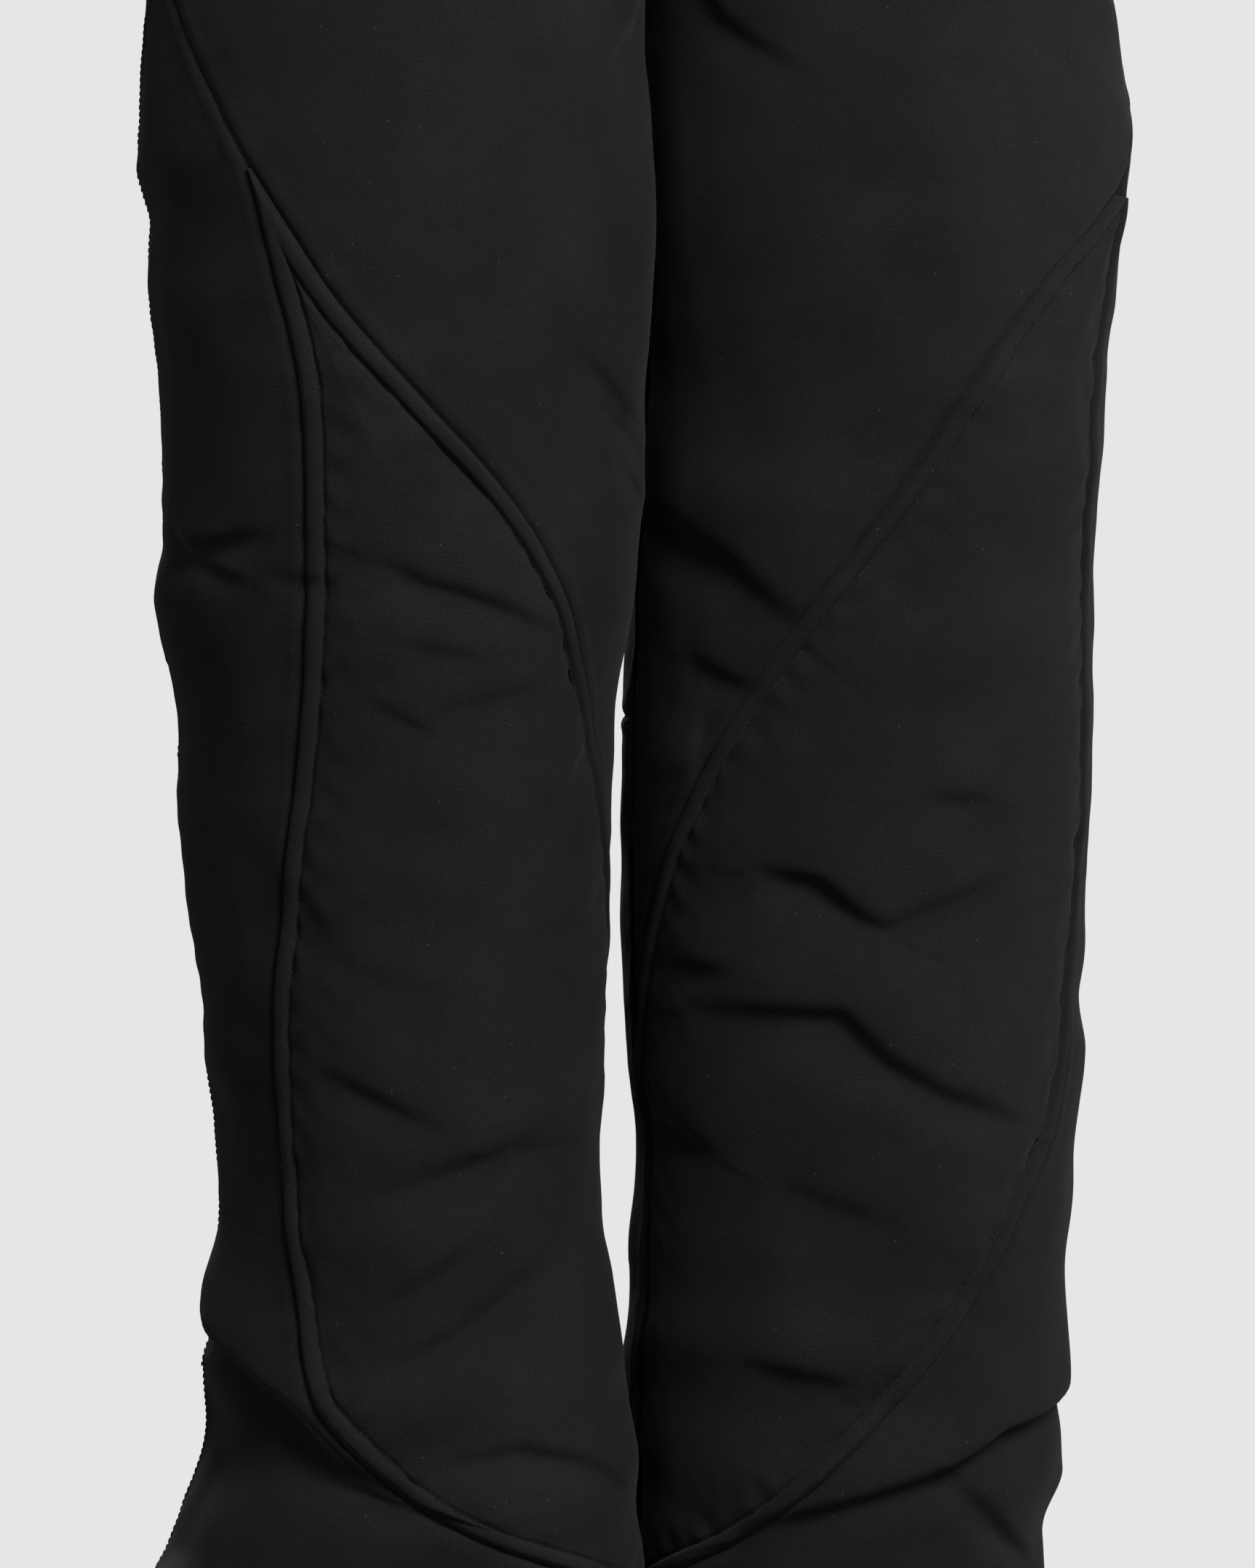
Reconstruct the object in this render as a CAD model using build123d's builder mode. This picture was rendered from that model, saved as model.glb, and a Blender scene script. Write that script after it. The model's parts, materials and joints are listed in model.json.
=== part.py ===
"""Ski pants in their worn shape: sewn panels, padded knees, linings, snow cuffs, zips, hardware.

Millimetres. +Z is up and the front faces -Y, so the wearer's right leg is on the -X side.
The origin is the centre of the waist opening, level with the waistband's top edge at the sides.
"""

from build123d import *
import math
import os

# ---- driving dimensions -------------------------------------------------------------------------
WAISTBAND_HEIGHT = 42.0
WAIST_TILT = 5.0  # degrees by which the waist leans down towards the front
TILT_ENDS = -200.0  # height where that lean has faded out
CROTCH = -250.0
FLY_BOTTOM = -173.0
HEM = -1070.0

SHELL = 1.5  # thickness of the softshell fabric
SEAM_GAP = 0.5  # each panel stops this far short of its seam line
LINING_INSET, LINING = 8.0, 0.8
KNEE_RISE = 2.5  # the padded panel stands this far out of the other panels
WADDING = 4.6

# The half section at a height: centre across, centre fore and aft, inner and outer half widths, front and
# back half depths. Above the crotch the inner half width is the centre's own distance from the midline.
HIPS = [
    (0.0, 62, 0, 62, 84, 108, 106),
    (-42.0, 64, 0, 64, 92, 108, 112),
    (-110.0, 72, 0, 72, 107, 108, 127),
    (-160.0, 80, -1, 80, 114, 108, 136),
    (-200.0, 88, -3, 88, 117, 108, 139),
    (CROTCH, 103, -8, 102, 119, 110, 136),
]
LEGS = {
    "right": HIPS
    + [
        (-310.0, 111, -16, 110, 124, 112, 126),
        (-370.0, 114.5, -22, 113.5, 126, 112, 119),
        (-444.0, 117, -25, 115.5, 125, 110, 112),
        (-503.0, 117, -22, 113.8, 119, 108, 108),
        (-570.0, 116.5, -18, 110, 118, 106, 106),
        (-649.0, 115.5, -8, 101, 103, 104, 105),
        (-716.0, 114, -5, 96, 99, 102, 103),
        (-790.0, 112.5, -3, 91.7, 91.7, 99, 102),
        (-854.0, 111, 0, 87.5, 88, 98, 103),
        (-921.0, 110.5, 0, 95, 91.5, 101, 106),
        (-977.0, 110, -2, 102, 99, 103, 110),
        (-1040.0, 110, -8, 107, 122, 104, 113),
        (HEM, 110, -10, 108, 127, 105, 115),
    ],
    "left": HIPS
    + [
        (-310.0, 112, -16, 111, 123, 112, 126),
        (-370.0, 117, -24, 116, 123, 112, 119),
        (-444.0, 118, -25, 116.5, 112, 110, 112),
        (-503.0, 118, -22, 117, 111.5, 108, 110),
        (-570.0, 118, -16, 117.5, 109, 108, 109),
        (-649.0, 118, -8, 117.5, 111, 108, 109),
        (-716.0, 117, -5, 116, 112, 108, 109),
        (-790.0, 115, -3, 112, 109.5, 106, 108),
        (-854.0, 113, 0, 104, 107, 106, 108),
        (-921.0, 111, 2, 103.5, 104, 106, 108),
        (-977.0, 110, 5, 104, 105, 107, 110),
        (-1040.0, 110, 6, 105, 108, 108, 112),
        (HEM, 110, 6, 106, 112, 110, 114),
    ],
}

# Seam lines as (height, angle round the leg): 0 is the front, -90 the outer side, 90 the inner side.
APEX = -300.0  # where the side panel's point meets the pocket seam
KNEE_SEAM = {
    "right": [(APEX, -82), (-336, -68), (-392, -50), (-425, -39), (-461, -27), (-505, -8), (-548, 12.5),
              (-593, 30), (-649, 46.5), (-705, 60), (-760, 76), (-808, 90)],
    "left": [(APEX, -84), (-345, -72), (-385, -57), (-407, -43), (-444, -21), (-481, -6), (-541, 14),
             (-593, 33), (-662, 58), (-723, 75), (-775, 86), (-808, 90)],
}
OUTER_SEAM = {
    "right": [(-392, -50), (-433, -44), (-503, -37), (-570, -36), (-649, -41.5), (-716, -48), (-790, -55.5),
              (-854, -56.5), (-921, -47), (-951, -40), (-977, -27), (-1014, 0), (-1036, 34), (-1060, 90)],
    "left": [(-385, -60), (-433, -56), (-503, -49), (-649, -50), (-716, -49), (-790, -47), (-827, -42),
             (-869, -30), (-917, -13.5), (-952, 2), (-983, 18.5), (-1022, 44), (-1060, 90)],
}
SIDE_SEAM = [(APEX, -84), (-320, -94), (-350, -101), (-450, -108), (-700, -110), (HEM, -112)]
POCKET_SEAM = [(-WAISTBAND_HEIGHT, -50), (-120, -58), (-200, -68), (APEX, -83)]
YOKE_SEAM = -112.0
KNEE_TOP, KNEE_BOTTOM = -410.0, -1048.0
FRONT_TIP = -788.0
LEVELS = [-12, -31, -42.5, -60, -111.5, -112.5, -145, -172, -200, -225, -242, CROTCH, -262, -308, -345,
          -385, -410, -440, -480, -530, -590, -639.5, -640.5, -716, -788, -854, -917, -952, -983, -1003,
          -1020, -1034, -1041, -1048, -1052, -1056, -1060, -1065, HEM]
DEGREES_PER_POINT = 24.0  # spacing of the points that a section's curve passes through
FRONT_RISE_CURVE, BACK_RISE_CURVE = -172.0, -135.0  # heights where the midline starts to curve under
FLY_FULLNESS = 2.0  # the front midline stands this far out of the thighs' fronts
CROTCH_BLEND = 60.0

INNER, BACK_INNER = 90.0, -270.0
SIGN = {"right": -1, "left": 1}
os.makedirs("parts", exist_ok=True)


# ---- the surface that every sewn piece follows ---------------------------------------------------
def along(table, height, column=1):
    """A smooth value between a table's rows, which run from the top down."""
    if height >= table[0][0]:
        return table[0][column]
    if height <= table[-1][0]:
        return table[-1][column]
    i = next(k for k in range(len(table) - 1) if table[k + 1][0] <= height)
    (z0, v0), (z1, v1) = [(row[0], row[column]) for row in table[i : i + 2]]
    step = (v1 - v0) / (z1 - z0)

    def slope(k):
        if not 0 < k < len(table) - 1:
            return step
        before = (table[k][column] - table[k - 1][column]) / (table[k][0] - table[k - 1][0])
        after = (table[k + 1][column] - table[k][column]) / (table[k + 1][0] - table[k][0])
        return 0 if before * after <= 0 else 2 * before * after / (before + after)

    h = z1 - z0
    t = (height - z0) / h
    m0, m1 = slope(i) * h, slope(i + 1) * h
    return (
        (2 * t**3 - 3 * t**2 + 1) * v0 + (t**3 - 2 * t**2 + t) * m0
        + (3 * t**2 - 2 * t**3) * v1 + (t**3 - t**2) * m1
    )


def crotch_share(height, starts):
    """How much of the half depth is left at the midline: 1 above starts, 0 at the crotch."""
    drop = min(max((starts - height) / (starts - CROTCH), 0.0), 1.0)
    return math.sqrt(1 - drop**2)


def surface(side, height, angle, inset=0.0):
    """The point (x, y) on the garment at a height and an angle, inset from the outer surface."""
    row = [along(LEGS[side], height, column) for column in range(1, 7)]
    centre, fore, inner, outer, front, back = row
    inner, outer, front, back = (value - inset for value in (inner, outer, front, back))
    s, c = abs(math.sin(math.radians(angle))), abs(math.cos(math.radians(angle)))
    at_front = -90 <= angle <= 90
    depth = front if at_front else back
    if -180 <= angle <= 0:
        across, reach = centre + outer * s, depth * c
    else:
        above = height > CROTCH
        midline = depth + (FLY_FULLNESS if at_front else 0.0)
        starts = FRONT_RISE_CURVE if at_front else BACK_RISE_CURVE
        middle = midline * crotch_share(height, starts) if above else 0.0
        power = 1 + min(max((height - CROTCH) / CROTCH_BLEND, 0.0), 1.0)
        across = max(centre - (centre - SEAM_GAP if above else inner) * s, SEAM_GAP)
        reach = middle + (depth - middle) * c**power
    return SIGN[side] * across, fore + (-reach if at_front else reach)


def lean(height):
    """The waist's lean at a height, in degrees."""
    share = min(max((height - TILT_ENDS) / -TILT_ENDS, 0.0), 1.0)
    return WAIST_TILT * share * share * (3 - 2 * share)


def level(height):
    """The plane of a section, which leans with the waist near the top."""
    return Plane(origin=(0, 0, height), x_dir=(1, 0, 0),
                 z_dir=Vector(0, 0, 1).rotate(Axis.X, lean(height)))


def on_level(height, point):
    """A surface point in the section plane's own coordinates."""
    return point[0], point[1] / math.cos(math.radians(lean(height)))


def in_space(side, height, angle, inset=0.0):
    x, y = surface(side, height, angle, inset)
    return Vector(x, y, height + y * math.tan(math.radians(lean(height))))


def gap_angle(side, height):
    return math.degrees(SEAM_GAP / (along(LEGS[side], height, 4)))


def panel(name, side, top, bottom, start, stop, inset=0.0, thickness=SHELL):
    """A sewn panel between two seam lines, given as functions of the height."""
    heights = [top] + [h for h in LEVELS if bottom < h < top] + [bottom]
    with BuildPart() as sewn:
        for height in heights:
            margin = gap_angle(side, height)
            first, last = start(height) + margin, stop(height) - margin
            count = 4 + int((last - first) / DEGREES_PER_POINT)
            angles = [first + (last - first) * k / (count - 1) for k in range(count)]
            outer = [on_level(height, surface(side, height, a, inset)) for a in angles]
            inner = [on_level(height, surface(side, height, a, inset + thickness)) for a in angles]
            with BuildSketch(level(height)):
                with BuildLine():
                    Spline(*outer)
                    Line(outer[-1], inner[-1])
                    Spline(*reversed(inner))
                    Line(inner[0], outer[0])
                make_face()
        loft(ruled=True)
    sewn.part.label = name
    return sewn.part


def keep(part):
    export_step(part, f"parts/{part.label}.step")


# ---- seam lines as functions of the height --------------------------------------------------------
ZIP_GAP = 6.0  # half width of the slot in which a zip shows
POCKET_TOP, POCKET_BOTTOM = -66.0, -214.0
SLOT_TOP, SLOT_BOTTOM = -59.0, -226.0


def pocket_gap(side, height):
    """The angle by which a panel stays clear of the pocket zip."""
    if not SLOT_BOTTOM < height < SLOT_TOP:
        return 0.0
    return math.degrees(ZIP_GAP / along(LEGS[side], height, 4))


def front_outer_edge(side):
    return lambda h: along(POCKET_SEAM, h) + pocket_gap(side, h) if h > APEX else along(KNEE_SEAM[side], h)


def back_outer_edge(side):
    return lambda h: along(POCKET_SEAM, h) - pocket_gap(side, h) if h > APEX else along(SIDE_SEAM, h)


def front_inner_edge(side, gap=ZIP_GAP):
    """The midline, or the fly's edge where the fly is open."""

    def edge(height):
        if height <= FLY_BOTTOM:
            return INNER
        centre = along(LEGS[side], height)
        return math.degrees(math.asin((centre - gap) / (centre - SEAM_GAP)))

    return edge


def knee_seam(side):
    return lambda h: along(KNEE_SEAM[side], h)


def outer_seam(side):
    return lambda h: along(OUTER_SEAM[side], h) if h < OUTER_SEAM[side][0][0] else along(KNEE_SEAM[side], h)


def side_seam(height):
    return along(SIDE_SEAM, height)


def level_angle(angle):
    return lambda h: angle


def narrowed(edge, degrees):
    return lambda h: edge(h) + degrees


# ---- shell panels, wadding and linings, once for each leg -----------------------------------------
BAND_GAP = 0.5
YOKE_HALF_GAP = 0.5
KNEE_BACK_SEAM = -640.0
WADDING_MARGIN = 4.0  # degrees kept clear of the seams
LINING_TOP, LINING_BOTTOM = -60.0, -1020.0
FACING_TOP = -1048.0
FACING_INSET, FACING = 2.0, 1.2
BAG_TOP, BAG_BOTTOM = -60.0, -242.0
BAG_INSET, BAG = 5.6, 1.6
BAG_START, BAG_STOP = -44.0, 20.0
WADDING_TOP, WADDING_BOTTOM = KNEE_TOP - 30, KNEE_BOTTOM + 14
SIDE_TOP = APEX - 8
FLY_LINING_GAP = 22.0  # the lining stops this far from the midline behind the fly
PANEL_TOP = -WAISTBAND_HEIGHT - BAND_GAP

for side in ("right", "left"):
    back = level_angle(BACK_INNER)
    inner = level_angle(INNER)
    side_line = level_angle(-90.0)
    keep(panel(f"front_thigh_{side}", side, PANEL_TOP, FRONT_TIP, front_outer_edge(side),
               front_inner_edge(side)))
    keep(panel(f"knee_panel_{side}", side, KNEE_TOP, KNEE_BOTTOM, outer_seam(side), knee_seam(side),
               inset=-KNEE_RISE))
    keep(panel(f"knee_wadding_{side}", side, WADDING_TOP, WADDING_BOTTOM,
               narrowed(outer_seam(side), WADDING_MARGIN), narrowed(knee_seam(side), -WADDING_MARGIN),
               inset=SHELL - KNEE_RISE, thickness=WADDING))
    keep(panel(f"side_panel_{side}", side, SIDE_TOP, HEM, side_seam, outer_seam(side)))
    keep(panel(f"back_yoke_{side}", side, PANEL_TOP, YOKE_SEAM + YOKE_HALF_GAP, back, back_outer_edge(side)))
    keep(panel(f"back_thigh_{side}", side, YOKE_SEAM - YOKE_HALF_GAP, KNEE_BACK_SEAM + YOKE_HALF_GAP,
               back, back_outer_edge(side)))
    keep(panel(f"back_calf_{side}", side, KNEE_BACK_SEAM - YOKE_HALF_GAP, HEM, back, back_outer_edge(side)))
    keep(panel(f"lining_front_{side}", side, LINING_TOP, LINING_BOTTOM, side_line,
               front_inner_edge(side, gap=FLY_LINING_GAP), inset=LINING_INSET, thickness=LINING))
    keep(panel(f"lining_back_{side}", side, LINING_TOP, LINING_BOTTOM, back, side_line,
               inset=LINING_INSET, thickness=LINING))
    keep(panel(f"hem_facing_{side}", side, FACING_TOP, HEM, back, inner,
               inset=FACING_INSET, thickness=FACING))
    keep(panel(f"pocket_bag_{side}", side, BAG_TOP, BAG_BOTTOM, level_angle(BAG_START),
               level_angle(BAG_STOP), inset=BAG_INSET, thickness=BAG))

# ---- snow cuffs inside the hems --------------------------------------------------------------------
CUFF_TOP, CUFF_BOTTOM = -860.0, -1058.0
CUFF_CLOTH = 0.8
CUFF_RINGS = [  # height, centre across, centre fore and aft, half width, half depth
    (CUFF_TOP, 111.0, 0.0, 76.0, 84.0),
    (-940.0, 110.0, 2.0, 74.0, 78.0),
    (-1010.0, 110.0, 2.0, 70.0, 74.0),
    (CUFF_BOTTOM, 110.0, 2.0, 66.0, 70.0),
]
ELASTIC_HEIGHT, ELASTIC = 22.0, 1.6
SEWN_GAP = 0.1  # between two layers that are sewn together
HOOK_WIDTH, HOOK_THICKNESS, HOOK_REACH, HOOK_RISE, HOOK_CLEARANCE = 9.0, 1.6, 5.5, 9.0, 1.6


def ring_at(height, column):
    return along(CUFF_RINGS, height, column)


def tube(name, side, heights, outset, thickness):
    """A closed elliptical sleeve of cloth round the snow cuff's line."""
    with BuildPart() as sleeve:
        for mode, extra in ((Mode.ADD, outset + thickness), (Mode.SUBTRACT, outset)):
            for height in heights:
                centre = (SIGN[side] * ring_at(height, 1), ring_at(height, 2))
                with BuildSketch(Plane.XY.offset(height)):
                    with Locations(centre):
                        Ellipse(ring_at(height, 3) + extra, ring_at(height, 4) + extra)
            loft(ruled=True, mode=mode)
    sleeve.part.label = name
    return sleeve.part


for side in ("right", "left"):
    cuff_heights = [ring[0] for ring in CUFF_RINGS]
    keep(tube(f"snow_cuff_{side}", side, cuff_heights, 0.0, CUFF_CLOTH))
    elastic_top = CUFF_BOTTOM + ELASTIC_HEIGHT
    keep(tube(f"cuff_elastic_{side}", side, [elastic_top, CUFF_BOTTOM], CUFF_CLOTH + SEWN_GAP, ELASTIC))
    hook_y = ring_at(CUFF_BOTTOM, 2) - ring_at(elastic_top, 4) - CUFF_CLOTH - ELASTIC - HOOK_CLEARANCE
    hook_plane = Plane(origin=(SIGN[side] * ring_at(CUFF_BOTTOM, 1), hook_y, CUFF_BOTTOM),
                       x_dir=(0, -1, 0), z_dir=(-1, 0, 0))
    with BuildPart() as lace_hook:
        with BuildSketch(hook_plane):
            with BuildLine():
                bend = HOOK_REACH / 2
                Polyline((0, ELASTIC_HEIGHT), (0, bend))
                RadiusArc((0, bend), (HOOK_REACH, bend), -bend)
                Polyline((HOOK_REACH, bend), (HOOK_REACH, HOOK_RISE),
                         (HOOK_REACH - HOOK_THICKNESS, HOOK_RISE), (HOOK_REACH - HOOK_THICKNESS, bend))
                RadiusArc((HOOK_REACH - HOOK_THICKNESS, bend), (HOOK_THICKNESS, bend), bend - HOOK_THICKNESS)
                Polyline((HOOK_THICKNESS, bend), (HOOK_THICKNESS, ELASTIC_HEIGHT), (0, ELASTIC_HEIGHT))
            make_face()
        extrude(amount=HOOK_WIDTH / 2, both=True)
    lace_hook.part.label = f"lace_hook_{side}"
    keep(lace_hook.part)

# ---- zips: rows of teeth on tapes, with a slider and its pull --------------------------------------
TOOTH_PITCH, TOOTH_LENGTH, TOOTH_THICKNESS = 2.4, 1.4, 1.4
ROW_INNER, ROW_OUTER = 0.9, 3.0
SPINE_WIDTH = 0.8
TAPE_INNER, TAPE_OUTER, TAPE_THICKNESS = 3.1, 10.0, 0.6
SLIDER_WIDTH, SLIDER_LENGTH, PLATE = 8.6, 9.0, 1.0
PLATE_INNER = 1.1  # distance from the chain's middle plane to a plate
POST_WIDTH, POST_LENGTH = 1.0, 3.0
ARCH_WIDTH, ARCH_LENGTH, ARCH_THICKNESS, ARCH_CLEAR = 1.6, 7.6, 1.0, 4.2
PULL_RISE = 3.1  # the pull's axis above the slider's plate, so that the pull clears the cloth below the fly
PULL_AXIS = PLATE_INNER + PLATE + PULL_RISE
PULL_BAR, PULL_ARM, PULL_ARM_LENGTH = 0.7, 1.4, 7.0
PULL_WIDTH, PULL_LENGTH, PULL_THICKNESS, PULL_NECK = 7.0, 28.0, 1.3, 6.0
PULL_HOLE, PULL_HOLE_UP = 1.5, 4.5
ZIP_CORNER = 2.0
ROW_END = 2.0
TOOTH_OVERLAP = 0.1  # each tooth runs this far into its spine
OVERCUT = 1.0  # a cut runs this far past the solid that it opens


def tape_strips(plane, length, sides):
    with BuildPart() as strips:
        with BuildSketch(plane):
            for way in sides:
                with Locations((way * (TAPE_INNER + TAPE_OUTER) / 2, -length / 2)):
                    Rectangle(TAPE_OUTER - TAPE_INNER, length)
        extrude(amount=TAPE_THICKNESS / 2, both=True)
    return strips.part


def tooth_rows(plane, length, sides):
    with BuildPart() as rows:
        count = int((length - 2 * ROW_END) / TOOTH_PITCH)
        with BuildSketch(plane):
            for way in sides:
                with Locations((way * (ROW_OUTER - SPINE_WIDTH / 2), -length / 2)):
                    Rectangle(SPINE_WIDTH, length - 2 * ROW_END)
                stagger = TOOTH_PITCH / 4 * way
                for k in range(count):
                    with Locations((way * (ROW_INNER + ROW_OUTER - SPINE_WIDTH) / 2,
                                    -ROW_END - TOOTH_PITCH * (k + 0.5) - stagger)):
                        Rectangle(ROW_OUTER - SPINE_WIDTH - ROW_INNER + TOOTH_OVERLAP, TOOTH_LENGTH)
        extrude(amount=TOOTH_THICKNESS / 2, both=True)
    return rows.part


def zip_slider(plane, along_track):
    """The slider, its middle at a distance down the track."""
    middle = (0, -along_track)
    with BuildPart() as slider:
        for low in (-PLATE_INNER - PLATE, PLATE_INNER):
            with BuildSketch(plane.offset(low)):
                with Locations(middle):
                    RectangleRounded(SLIDER_WIDTH, SLIDER_LENGTH, ZIP_CORNER)
            extrude(amount=PLATE)
        with BuildSketch(plane):
            with Locations((0, -along_track + (SLIDER_LENGTH - POST_LENGTH) / 2)):
                Rectangle(POST_WIDTH, POST_LENGTH)
        extrude(amount=PLATE_INNER + PLATE / 2, both=True)
        arch_base = PLATE_INNER + PLATE
        with BuildSketch(plane.offset(arch_base)):
            with Locations(middle):
                Rectangle(ARCH_WIDTH, ARCH_LENGTH)
        extrude(amount=ARCH_CLEAR + ARCH_THICKNESS)
        with BuildSketch(plane.offset(arch_base)):
            with Locations(middle):
                Rectangle(ARCH_WIDTH + OVERCUT, ARCH_LENGTH - 2 * ARCH_THICKNESS)
        extrude(amount=ARCH_CLEAR, mode=Mode.SUBTRACT)
    return slider.part


def zip_pull(plane, along_track):
    """The pull, hanging down from the crossbar under the slider's arch."""
    reach = PULL_ARM_LENGTH + PULL_LENGTH
    with BuildPart() as pull:
        with BuildSketch(plane.offset(PULL_AXIS - PULL_THICKNESS / 2)):
            with Locations((0, -along_track - PULL_ARM_LENGTH - PULL_LENGTH / 2 + PULL_BAR)):
                RectangleRounded(PULL_WIDTH, PULL_LENGTH, ZIP_CORNER)
            with Locations((0, -along_track - PULL_ARM_LENGTH / 2 - PULL_BAR / 2)):
                Rectangle(PULL_NECK, PULL_ARM_LENGTH + PULL_BAR)
            with Locations((0, -along_track - PULL_ARM_LENGTH / 2)):
                Rectangle(PULL_NECK - 2 * PULL_ARM, PULL_ARM_LENGTH - 2 * PULL_BAR, mode=Mode.SUBTRACT)
            with Locations((0, -along_track - reach + PULL_HOLE_UP)):
                Circle(PULL_HOLE, mode=Mode.SUBTRACT)
        extrude(amount=PULL_THICKNESS)
        axis_point = plane.from_local_coords((0, -along_track, PULL_AXIS))
        with BuildSketch(Plane(origin=axis_point, x_dir=plane.y_dir, z_dir=plane.x_dir)):
            Circle(PULL_BAR)
        extrude(amount=PULL_NECK / 2, both=True)
    return pull.part


def named(part, name):
    part.label = name
    keep(part)


FLY_TOP, FLY_LENGTH = -54.0, 116.0
FLY_FACE = -107.6  # the tapes lie just behind the front panels
SLIDER_AT = 8.0
STOP_GAP, STOP_HEIGHT = 2.0, 3.0
fly_plane = Plane(origin=(0, FLY_FACE, FLY_TOP), x_dir=(1, 0, 0), z_dir=(0, -1, 0))
for side in ("right", "left"):
    named(tape_strips(fly_plane, FLY_LENGTH, [SIGN[side]]), f"fly_tape_{side}")
    named(tooth_rows(fly_plane, FLY_LENGTH, [SIGN[side]]), f"fly_teeth_{side}")
named(zip_slider(fly_plane, SLIDER_AT), "fly_slider")
named(zip_pull(fly_plane, SLIDER_AT), "fly_pull")
with BuildPart() as fly_stop:
    with BuildSketch(fly_plane):
        with Locations((0, -FLY_LENGTH - STOP_GAP)):
            Rectangle(2 * ROW_OUTER, STOP_HEIGHT)
    extrude(amount=PLATE_INNER, both=True)
named(fly_stop.part, "fly_bottom_stop")


def pocket_line(side, height, depth=0.0):
    return in_space(side, height, along(POCKET_SEAM, height), depth)


ZIP_DEPTH = 4.4
ZIP_SPREAD = 5.0  # degrees to each side that set how the zip faces
for side in ("right", "left"):
    upper = pocket_line(side, POCKET_TOP, ZIP_DEPTH)
    lower = pocket_line(side, POCKET_BOTTOM, ZIP_DEPTH)
    run = (upper - lower).normalized()
    middle_height = (POCKET_TOP + POCKET_BOTTOM) / 2
    middle_angle = along(POCKET_SEAM, middle_height)
    ahead = in_space(side, middle_height, middle_angle + ZIP_SPREAD)
    behind = in_space(side, middle_height, middle_angle - ZIP_SPREAD)
    outward = run.cross(ahead - behind).normalized()
    if outward.Y > 0:
        outward = outward * -1
    across = run.cross(outward)
    pocket_plane = Plane(origin=upper, x_dir=across, z_dir=outward)
    length = (upper - lower).length
    named(tape_strips(pocket_plane, length, [-1, 1]), f"pocket_tape_{side}")
    named(tooth_rows(pocket_plane, length, [-1, 1]), f"pocket_teeth_{side}")
    named(zip_slider(pocket_plane, SLIDER_AT), f"pocket_slider_{side}")
    named(zip_pull(pocket_plane, SLIDER_AT), f"pocket_pull_{side}")

# ---- waistband, its fastening, adjusters and belt loops ---------------------------------------------
BAND_OUTSET, BAND = 0.8, 2.0
BAND_LINING_INSET, BAND_LINING = 1.4, 1.2
LOOP_PATCH_OUTSET, PATCH = 1.6, 0.7
HOOK_PATCH_OUTSET = 2.8
TAB_OUTSET, TAB = 4.2, 1.3
ADJUSTER_TOP, ADJUSTER_BOTTOM = -9.0, -34.0
ADJUSTER_ROOT, ADJUSTER_END = -112.0, -72.0
PATCH_TOP, PATCH_BOTTOM = -12.0, -31.0
HOOK_PATCH_ANGLES = (ADJUSTER_END - 22, ADJUSTER_END - 3)
LOOP_PATCH_ANGLES = (ADJUSTER_ROOT + 4, ADJUSTER_END + 16)
ANCHOR_ANGLES = (ADJUSTER_ROOT - 6, ADJUSTER_ROOT - 1)

for side in ("right", "left"):
    back = level_angle(BACK_INNER)
    inner = level_angle(INNER)
    keep(panel(f"waistband_{side}", side, 0.0, -WAISTBAND_HEIGHT, back, inner,
               inset=-BAND_OUTSET, thickness=BAND))
    keep(panel(f"waistband_lining_{side}", side, 0.0, -WAISTBAND_HEIGHT, back, inner,
               inset=BAND_LINING_INSET, thickness=BAND_LINING))
    keep(panel(f"adjuster_tab_{side}", side, ADJUSTER_TOP, ADJUSTER_BOTTOM, level_angle(ADJUSTER_ROOT),
               level_angle(ADJUSTER_END), inset=-TAB_OUTSET, thickness=TAB))
    keep(panel(f"hook_patch_{side}", side, PATCH_TOP, PATCH_BOTTOM, level_angle(HOOK_PATCH_ANGLES[0]),
               level_angle(HOOK_PATCH_ANGLES[1]), inset=-HOOK_PATCH_OUTSET, thickness=PATCH))
    keep(panel(f"loop_patch_{side}", side, PATCH_TOP, PATCH_BOTTOM, level_angle(LOOP_PATCH_ANGLES[0]),
               level_angle(LOOP_PATCH_ANGLES[1]), inset=-LOOP_PATCH_OUTSET, thickness=PATCH))

anchor_pieces = [
    panel("anchor", side, ADJUSTER_TOP, ADJUSTER_BOTTOM, level_angle(ANCHOR_ANGLES[0]),
          level_angle(ANCHOR_ANGLES[1]), inset=-TAB_OUTSET, thickness=TAB_OUTSET - BAND_OUTSET - SEWN_GAP)
    for side in ("right", "left")
]
with BuildPart() as adjuster_anchors:
    for piece in anchor_pieces:
        add(piece)
named(adjuster_anchors.part, "adjuster_anchors")

# The tab closes the front: it is sewn down at its left end and snaps shut at its right end.
BAND_FACE = -110.9
TAB_CLEAR, TAB_THICKNESS = 0.6, 2.0
TAB_LEFT, TAB_RIGHT, TAB_HEIGHT, TAB_MIDDLE, TAB_CORNER = 26.0, -29.0, 34.0, -31.0, 8.0
SNAP_X = -17.0
SNAP_HOLE, CAP_RADIUS, CAP_HEIGHT, CAP_ROUNDING = 5.0, 7.0, 2.0, 1.4
SOCKET_OUTER, SOCKET_INNER, SOCKET_RECESS = 4.6, 3.1, 0.2
STUD_RADIUS, STUD_HEIGHT = 2.4, 1.8
ANCHOR_START, ANCHOR_END = 27.8, 37.0
tab_back = Plane(origin=(0, BAND_FACE - TAB_CLEAR, TAB_MIDDLE), x_dir=(1, 0, 0), z_dir=(0, -1, 0))
band_front = tab_back.offset(-TAB_CLEAR)
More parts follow.
